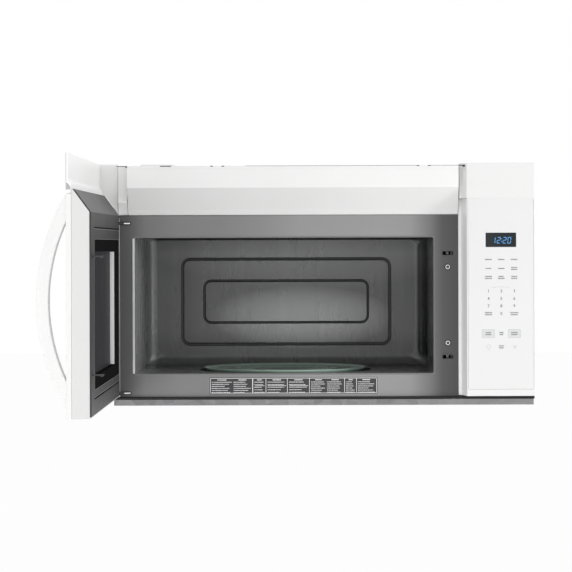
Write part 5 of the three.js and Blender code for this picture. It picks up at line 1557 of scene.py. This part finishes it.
SPINDLE = (-71, -200.5)
TRAY_PROFILE = (  # radius and height
    (138, 53.6), (143, 54.6), (147.5, 56.8), (150.6, 59.4), (152.3, 61.3), (152.4, 61.9), (151.6, 62.2),
    (150.2, 61.9), (147.2, 60.0), (143.4, 58.9), (138, 58.6), (124.5, 58.6), (123, 59.1), (121, 59.1),
    (119.5, 58.6), (84.5, 58.6), (83, 59.1), (81, 59.1), (79.5, 58.6), (30, 58.6))
LUG_RADIUS = 19  # from the spindle to the tray's lugs


def tray():
    """Pressed glass tray: raised rim, moulded rings and three lugs underneath."""
    bm = bmesh.new()
    draw_turned(bm, TRAY_PROFILE, SPINDLE, "z", 96)
    for lug in circle(SPINDLE, LUG_RADIUS, 6)[1::2]:
        draw_turned(bm, [(3, 50.6), (3, 53.7)], lug, "z", 16)
    stands_for(finished("tray_finish", bm, TRAY, angle=40), "glass_tray")


tray()

# ------------------------------------------------------------------ blower rotor

SHAFT = (-90, 380.85)  # the blower's axis, in Y and Z
DRUM = (51, 126)  # X of each drum's blades, to both sides
BLADES = 42
DISCS = ((50, 52, 38, 3), (125, 126, 38, 33.4))  # near end, far end, outer and inner radius


def blower_rotor():
    """Two drum rotors of curved blades on one shaft."""
    bm = bmesh.new()
    section = [(36.5, -2.4), (37.6, -1.0), (36.4, 0.9), (33.6, 2.0), (33.4, 1.5), (35.8, 0.5),
               (36.8, -0.9), (36.0, -2.1)]
    draw_prism(bm, section, "x", DRUM[0], DRUM[1])
    draw_prism(bm, section, "x", -DRUM[1], -DRUM[0])
    blade = pattern("rotor_blade", bm, BLACK_PLASTIC)
    blades = copies("rotor_blades", blade, BLADES, place(0, *SHAFT), (0, 0, 0), BLACK_PLASTIC,
                    spin=(2 * math.pi / BLADES, 0, 0))
    spent(blade)
    bm = bmesh.new()
    for side in (-1, 1):
        for near, far, outer, inner in DISCS:
            ends = sorted((side * near, side * far))
            draw_frame(bm, circle(SHAFT, outer, 40), circle(SHAFT, inner, 40), "x", *ends)
    draw_turned(bm, [(3, -DRUM[0]), (3, DRUM[0])], SHAFT, "x", 20)
    discs = finished("rotor_discs", bm, BLACK_PLASTIC)
    stands_for(joined_up("rotor_finish", [blades, discs]), "blower_wheels")


blower_rotor()

# ------------------------------------------------------------------ grease filters

FILTERS = {"grease_filter_left": (-256, -196.5), "grease_filter_right": (114, -196.5)}  # their middles


def filter_rims():
    """Bright rims of the two grease filters, seen in the base."""
    for node, middle in FILTERS.items():
        dress(node, MESH, 0.3)
        bm = drawn(draw_rim, middle, (149.6, 266.6, 4), (138, 255, 3), 4, "z", 1.4, 4.1)
        rides(finished(node + "_rim", bm, ALUMINIUM, bevel=0.3), BODY_OF[node])


filter_rims()

# ------------------------------------------------------------------ nodes with only their edges rounded

INSIDE = {
    "top_deck": (STEEL, 0.3),
    "charcoal_filter": (CHARCOAL, 0.5),
    "control_board": (BOARD, 0.2),
    "handle_screw_lower": (SCREW_STEEL, 0.3),
    "handle_screw_upper": (SCREW_STEEL, 0.3),
    "hinge_lower": (HINGE_STEEL, 0.3),
    "hinge_upper": (HINGE_STEEL, 0.3),
    "latch_board": (LATCH_BOARD_PAINTED_SHADE, 0.3),
    "interlock_switch_upper": (SOCKET_BLACK, 0.3),
    "interlock_switch_lower": (SOCKET_BLACK, 0.3),
    "switch_plunger_upper": (SCREW_FACE, 0.3),
    "switch_plunger_lower": (SCREW_FACE, 0.3),
    "waveguide": (STEEL, 0.3),
    "waveguide_cover": (MICA, 0.1),
    "magnetron": (ALUMINIUM, 0.2),
    "hv_transformer": (IRON, 0.6),
    "hv_capacitor": (ALUMINIUM, 0.3),
    "oven_lamp": (FROSTED, 0.4),
    "turntable_motor": (STEEL, 0.4),
    "drive_coupler": (NATURAL, 0.4),
    "roller_ring": (BLACK_PLASTIC, 0.4),
    "roller_1": (NATURAL, 0.3),
    "roller_2": (NATURAL, 0.3),
    "roller_3": (NATURAL, 0.3),
    "fan_shroud": (STEEL, 0.3),
    "fan_motor": (IRON, 0.4),
    "fan_blade": (BLACK_PLASTIC, 0.3),
    "blower_housing": (STEEL, 0.2),
    "blower_motor": (STEEL, 0.6),
    "cooktop_lamp": (STEEL, 0.3),
    "lamp_cover": (FROSTED, 0.4),
}
for node, (material, width) in INSIDE.items():
    dress(node, material, width, 2)
finish_node("latch_spring", SCREW_STEEL)

# ------------------------------------------------------------------ camera, light and floor

FOCAL_PIXELS = 2661
AXIS_PIXEL = (314, 244)  # where the level optical axis meets the photograph
CAMERA_AT = (-0.017, -5.175, 0.0732)
CAMERA_ROLL = -0.003

camera = in_scene("camera", bpy.data.cameras.new("camera"))
camera.data.sensor_width = 36
camera.data.lens = FOCAL_PIXELS / PHOTO * camera.data.sensor_width
camera.data.shift_x = (PHOTO / 2 - AXIS_PIXEL[0]) / PHOTO
camera.data.shift_y = (AXIS_PIXEL[1] - PHOTO / 2) / PHOTO
camera.data.clip_end = 100
level = Euler((math.pi / 2, 0, 0)).to_matrix().to_4x4()
camera.matrix_world = Matrix.Translation(CAMERA_AT) @ level @ Matrix.Rotation(CAMERA_ROLL, 4, "Z")
scene.camera = camera

FLOOR_DROP = 1.15  # the unit hangs this far above the floor
FLOOR_GLOW = 0.95  # the rest of the floor's white takes the unit's shadow


def white_floor():
    """White floor that glows to the camera, so that only a faint shadow is seen on it."""
    paint = Paint("floor_white")
    paint.set(Base_Color=(0.88, 0.88, 0.88), Roughness=0.9)
    glow = paint.node("ShaderNodeEmission", values={"Color": (1, 1, 1), "Strength": 1.0}).outputs[0]
    parts = {0: paint.backdrop_rays() * FLOOR_GLOW, 1: paint.shader.outputs[0], 2: glow}
    mix = paint.node("ShaderNodeMixShader", values=parts).outputs[0]
    paint.feed(paint.output.inputs["Surface"], mix)
    return paint.material


FLOOR_HALF = 30  # metres

bm = bmesh.new()
bmesh.ops.create_grid(bm, x_segments=1, y_segments=1, size=FLOOR_HALF)
floor = obj_from("floor", bm, white_floor())
floor.location.z = cad_box[0][2] - FLOOR_DROP

AMBIENT = 0.7  # the world's light on the object


def studio_world():
    """White where the camera, a mirror or glass sees it, and a softer white as light."""
    world = bpy.data.worlds.new("studio")
    scene.world = world
    world.use_nodes = True
    sky = Nodes(world.node_tree)
    soft, white = [sky.node("ShaderNodeBackground", values={"Color": (1, 1, 1), "Strength": strength})
                   for strength in (AMBIENT, 1.0)]
    parts = {0: sky.backdrop_rays(), 1: soft.outputs[0], 2: white.outputs[0]}
    mix = sky.node("ShaderNodeMixShader", values=parts)
    sky.node("ShaderNodeOutputWorld", values={"Surface": mix.outputs[0]})


def softbox(name, at, target, size, watts):
    """A rectangular light aimed at a place."""
    light = bpy.data.lights.new(name, "AREA")
    light.shape = "RECTANGLE"
    light.size, light.size_y = size
    light.energy = watts
    lamp = in_scene(name, light)
    lamp.location = at
    aim = Vector(target) - Vector(at)
    lamp.rotation_euler = aim.to_track_quat("-Z", "Y").to_euler()


studio_world()
softbox("right_light", (3.9, -2.15, 0.3), (0, -0.4, 0), (1.1, 1.4), 64)
softbox("left_light", (-2.0, -2.2, -1.1), (0, -0.4, 0), (2.0, 1.4), 18)
softbox("front_light", (-0.8, -6.4, 0), (0, -0.4, 0), (3.0, 3.0), 40)
softbox("cavity_light", (-0.09, -4.8, -0.18), (-0.05, 0, -0.05), (0.55, 0.35), 3)
softbox("top_light", (-0.6, -1.6, 3.2), (0, -0.2, 0), (2.4, 1.6), 6)
